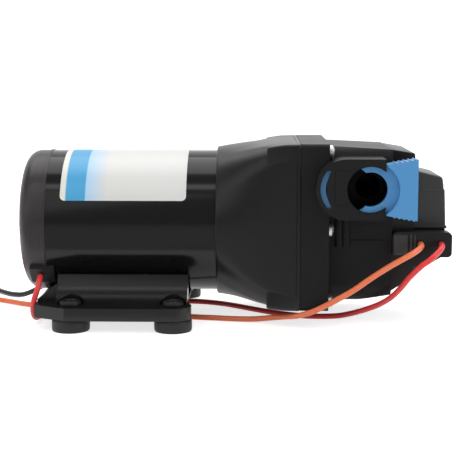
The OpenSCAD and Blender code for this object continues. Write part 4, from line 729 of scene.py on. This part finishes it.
SWITCH_X0, SWITCH_X1, SHELF_Z, SEAM_Z, SWITCH_HALF = 143.5, 160.1, 47.5, 67.4, 20.0
SWITCH_TOP0, SWITCH_TOP1, BROW_Z = 76.8, 73.2, 68.7
LIP_OUT, LIP_HIGH, LID_IN, LID_SUNK, FRONT_LEAN = 0.4, 1.5, 0.5, 2.6, 0.9
front_at_seam = SWITCH_X1 - FRONT_LEAN * (SEAM_Z - SHELF_Z) / (BROW_Z - SHELF_Z)
body_outline = filleted(
    [[SWITCH_X0, SHELF_Z], [SWITCH_X1, SHELF_Z], [front_at_seam, SEAM_Z], [SWITCH_X0, SEAM_Z]], 1.0,
)
lid_outline = filleted(
    [
        [SWITCH_X0, SEAM_Z - LID_SUNK], [front_at_seam - 0.4, SEAM_Z - LID_SUNK],
        [SWITCH_X1 - 1.3, BROW_Z + 0.2], [SWITCH_X1 - 2.0, SWITCH_TOP1], [SWITCH_X0, SWITCH_TOP0],
    ],
    [1.3, 1.3, 1.6, 1.9, 1.3],
)
lip_outline = filleted(
    [
        [SWITCH_X0, SHELF_Z], [SWITCH_X1 + LIP_OUT, SHELF_Z],
        [SWITCH_X1 + LIP_OUT, SHELF_Z + LIP_HIGH], [SWITCH_X0, SHELF_Z + LIP_HIGH],
    ],
    0.45,
)
shells = []
for outline, half, edge in (
    (body_outline, SWITCH_HALF, 0.9), (lid_outline, SWITCH_HALF - LID_IN, 1.2),
    (lip_outline, SWITCH_HALF + LIP_OUT, 0.4),
):
    shells.append(prism_along_y(outline, -half, half, edge))
switch_shell = make_object("switch_shell", *joined(shells), SWITCH, sharp=40.0)
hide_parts("switch_cover")
print("switch cover faces", len(switch_shell.data.polygons))

# %% [markdown]
# ## Plunger spring
# The spring behind the pressure plunger is a coil of wire, which shortens as the plunger moves. A solid keeps
# its length, so the spring is made anew as a tube along a helix.

# %% Plunger spring
SPRING_X0, SPRING_X1, SPRING_Z = 136.11, 140.6, 62.0
SPRING_R, SPRING_WIRE, SPRING_TURNS, TURN_STEPS = 5.6, 0.45, 4, 28
turn = np.linspace(0, 2 * np.pi * SPRING_TURNS, TURN_STEPS * SPRING_TURNS + 1)
spring_x = np.linspace(SPRING_X0, SPRING_X1, len(turn))
spring_path = np.stack([spring_x, SPRING_R * np.sin(turn), SPRING_Z + SPRING_R * np.cos(turn)], axis=1)
spring = make_object("plunger_spring", *tube(spring_path, SPRING_WIRE, sides=10), STEEL)
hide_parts("switch_spring")
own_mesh(spring)
print("spring length", round(SPRING_X1 - SPRING_X0 + 2 * SPRING_WIRE, 2), "mm")

# %% [markdown]
# ## Small mouldings
# The rear cap ends in a thin lip where it meets the can, and two plugs close its bolt holes. The wire block
# has a raised pad and ribs beside its two holes. The end cover is filled out at the top, and each port's
# boss has a thin pad beside the mouth. Bump could imitate such low forms from the front, but it leaves the
# outline as it is, so each is a small mesh that sits on its solid.

# %% Lip, ribs and crown
LIP_PROFILE = [
    (35.7, -40.4), (36.1, -40.4), (36.3, -40.2), (36.35, -39.6), (36.3, -38.9), (36.1, -38.6),
    (35.7, -38.6),
]
lip_points, lip_faces = revolve(LIP_PROFILE, sides=160)
lip_points = lip_points[:, [2, 0, 1]] + [0.0, 0.0, AXIS_Z]
make_object("cap_lip", lip_points, lip_faces, CAP)

BLOCK_Z0, BLOCK_Z1, BLOCK_FACE, BLOCK_BACK = 36.3, 46.3, -34.0, -33.4
BLOCK_MARKS = ((132.7, 139.4, 0.35), (140.6, 141.6, 0.3), (142.6, 143.4, 0.3))
ribs = []
for x0, x1, out in BLOCK_MARKS:
    outline = filleted([[x0, BLOCK_Z0], [x1, BLOCK_Z0], [x1, BLOCK_Z1], [x0, BLOCK_Z1]], 0.4)
    ribs.append(prism_along_y(outline, BLOCK_FACE - out, BLOCK_BACK, 0.25))
make_object("block_ribs", *joined(ribs), SWITCH)

CROWN_X0, CROWN_X1, CROWN_HALF = 132.05, 143.45, 26.05
CROWN_LOW, CROWN_BACK, CROWN_FRONT = 82.0, 87.4, 85.5
crown_outline = filleted(
    [[CROWN_X0, CROWN_LOW], [CROWN_X1, CROWN_LOW], [CROWN_X1, CROWN_FRONT], [CROWN_X0, CROWN_BACK]],
    [0.8, 1.0, 1.3, 0.8],
)
make_object("cover_crown", *prism_along_y(crown_outline, -CROWN_HALF, CROWN_HALF, 0.8), HOUSING)
print("lip, ribs and crown made")

# %% Plugs and pads
PLUG_R, PLUG_FLOOR = 3.9, -49.6
PLUG_STEPS = ((PLUG_R, 0.3), (3.8, 0.1), (3.6, 0.0), (2.7, 0.0), (1.8, 0.0), (0.9, 0.0))


def cap_plug(side, bolt_r=29.8, cap_x=-52.0, round_r=7.0, motor_r=36.0, sides=40):
    """A plug over a bolt head: a disc whose outer face carries on the rounded edge of the cap."""
    around = np.linspace(0, 2 * np.pi, sides, endpoint=False)
    rings = []
    for radius, sink in ((PLUG_R, None), *PLUG_STEPS):
        out, up = bolt_r + radius * np.cos(around), radius * np.sin(around)
        past = np.maximum(np.hypot(out, up) - (motor_r - round_r), 0.0)
        x = cap_x + round_r - np.sqrt(round_r**2 - past**2)
        x = np.full(sides, PLUG_FLOOR) if sink is None else x + sink
        rings.append(np.stack([x, side * out, AXIS_Z + up], axis=1))
    return loft(rings)


make_object("cap_plugs", *joined([cap_plug(side) for side in (-1, 1)]), CAP)


def boss_pad(side, face_y=52.0, thick=0.3, left=102.7, reach=11.5, low=-39.0, high=52.0, around=9):
    """A thin pad on a port's boss: straight on three sides and drawn round the mouth on the fourth."""
    angle = np.radians(np.linspace(low, high, around))
    arc = np.stack([PORT_X - reach * np.cos(angle), PORT_Z + reach * np.sin(angle)], axis=1)
    corners = np.vstack([[[left, arc[0, 1]]], arc, [[left, arc[-1, 1]]]])
    outline = filleted(corners, [0.6, 0.35, *[6.0] * (around - 2), 0.35, 0.6])
    return prism_along_y(outline, face_y - thick, face_y + thick, 0.25, side)


make_object("boss_pads", *joined([boss_pad(side) for side in (-1, 1)]), HEAD)
print("plugs and pads made")

# %% [markdown]
# ## Moulded edges
# Every moulding has narrow rounded edges, which catch the light. They could be cut into the solids, at the
# cost of many small faces. A Bevel modifier that acts only on edges past a set angle gives the same look, and
# leaves the solids as they are.

# %% Edges of the solids
EDGES = {
    "pump_head": 0.6, "mounting_base": 0.6, "head_end_cover": 0.8, "wire_block": 0.5,
    "port_clip_near": 0.35, "port_clip_far": 0.35, "wire_grommets": 0.5, "motor_rear_cap": 0.3,
    "head_screws": 0.25, "end_cover_screws": 0.2,
}
EDGE_ANGLE = math.radians(35.0)
for name, width in EDGES.items():
    edge = NODES[name].modifiers.new("moulded_edge", "BEVEL")
    edge.width = width * MM
    edge.segments = 3
    edge.limit_method = "ANGLE"
    edge.angle_limit = EDGE_ANGLE
    edge.harden_normals = True
print("rounded solids:", len(EDGES))

# %% [markdown]
# ## Stage and light
# A small studio: a white floor that rises behind the pump and at both sides. More light could make it white,
# but would wash out the pump, so the floor looks white to the camera by itself and still takes a shadow. One
# wide soft light hangs above, a weaker one stands at the left front and a narrow one at the right, and a
# strip above the front draws a line along the can. A grey card in front of the feet shows in reflections
# alone, so that the pump's lower faces don't mirror pure white.


# %% Floor
def white_stage_material(grey=0.9, strength=0.72):
    """White to camera, mirror and glass rays, with the diffuse light of the scene on top."""
    material = bpy.data.materials.new("stage_white")
    material.use_nodes = True
    tree = material.node_tree
    tree.nodes.clear()
    out = tree.nodes.new("ShaderNodeOutputMaterial")
    lit = tree.nodes.new("ShaderNodeBsdfDiffuse")
    lit.inputs["Color"].default_value = (grey, grey, grey, 1.0)
    glow = tree.nodes.new("ShaderNodeEmission")
    path = tree.nodes.new("ShaderNodeLightPath").outputs
    seen = math_node(tree, "ADD", path["Is Camera Ray"], path["Is Glossy Ray"])
    seen = math_node(tree, "ADD", seen, path["Is Transmission Ray"], clamp=True)
    tree.links.new(math_node(tree, "MULTIPLY", seen, strength), glow.inputs["Strength"])
    both = tree.nodes.new("ShaderNodeAddShader")
    tree.links.new(lit.outputs[0], both.inputs[0])
    tree.links.new(glow.outputs[0], both.inputs[1])
    tree.links.new(both.outputs[0], out.inputs["Surface"])
    return material


def stage_floor(half_x=3.6, front=-3.0, back=3.2, side_rise=2.2, back_rise=1.4, columns=73, rows=63):
    """A sheet that is flat in the middle and rises as a parabola behind and to both sides."""
    x, y = np.meshgrid(np.linspace(-half_x, half_x, columns), np.linspace(front, back, rows))
    z = np.maximum(np.abs(x) - side_rise, 0.0) ** 2 + np.maximum(y - back_rise, 0.0) ** 2
    mesh = bpy.data.meshes.new("floor")
    mesh.from_pydata(np.stack([x, y, z], axis=-1).reshape(-1, 3).tolist(), [], grid_faces(*x.shape))
    mesh.polygons.foreach_set("use_smooth", [True] * len(mesh.polygons))
    floor = bpy.data.objects.new("floor", mesh)
    bpy.context.scene.collection.objects.link(floor)
    floor.data.materials.append(white_stage_material())


def grey_card(half_x=1.6, near=-2.2, far=-0.07, level=0.004, grey=0.7):
    """A studio card: a pale grey sheet on the floor in front of the feet, seen in reflections only."""
    material = bpy.data.materials.new("card_grey")
    material.use_nodes = True
    shader = material.node_tree.nodes["Principled BSDF"]
    shader.inputs["Base Color"].default_value = (grey, grey, grey, 1.0)
    shader.inputs["Roughness"].default_value = 0.9
    mesh = bpy.data.meshes.new("card")
    corners = [(-half_x, near, level), (half_x, near, level), (half_x, far, level), (-half_x, far, level)]
    mesh.from_pydata(corners, [], [(0, 1, 2, 3)])
    card = bpy.data.objects.new("card", mesh)
    bpy.context.scene.collection.objects.link(card)
    card.data.materials.append(material)
    card.visible_camera = False
    card.visible_diffuse = False
    card.visible_shadow = False


stage_floor()
grey_card()
print("floor and card laid")


# %% Lights
def softbox(name, place, target, size, power):
    """A rectangular lamp at a place, turned to face a target."""
    data = bpy.data.lights.new(name, "AREA")
    data.shape = "RECTANGLE"
    data.size, data.size_y = size
    data.energy = power
    lamp = bpy.data.objects.new(name, data)
    lamp.location = place
    away = np.array(place) - np.array(target)
    tilt = math.atan2(math.hypot(away[0], away[1]), away[2])
    lamp.rotation_euler = (tilt, 0.0, math.atan2(away[0], -away[1]))
    bpy.context.scene.collection.objects.link(lamp)


softbox("top_light", (0.05, 0.35, 1.1), (0.05, 0.0, 0.05), (1.6, 0.9), 11.0)
softbox("front_left_light", (-0.8, -1.0, 0.9), (0.05, 0.0, 0.05), (1.5, 1.2), 5.0)
softbox("right_light", (1.0, -0.5, 0.5), (0.1, 0.0, 0.05), (0.3, 0.8), 3.0)
softbox("strip_light", (0.0, -0.55, 1.05), (0.0, -0.03, 0.02), (1.2, 0.16), 1.6)

WORLD_STRENGTH = 0.31
world = bpy.data.worlds.new("studio")
bpy.context.scene.world = world
world.use_nodes = True
sky = world.node_tree.nodes["Background"]
sky.inputs["Color"].default_value = (1.0, 1.0, 1.0, 1.0)
sky.inputs["Strength"].default_value = WORLD_STRENGTH
bpy.context.scene.view_settings.view_transform = "Standard"
print("lights set")
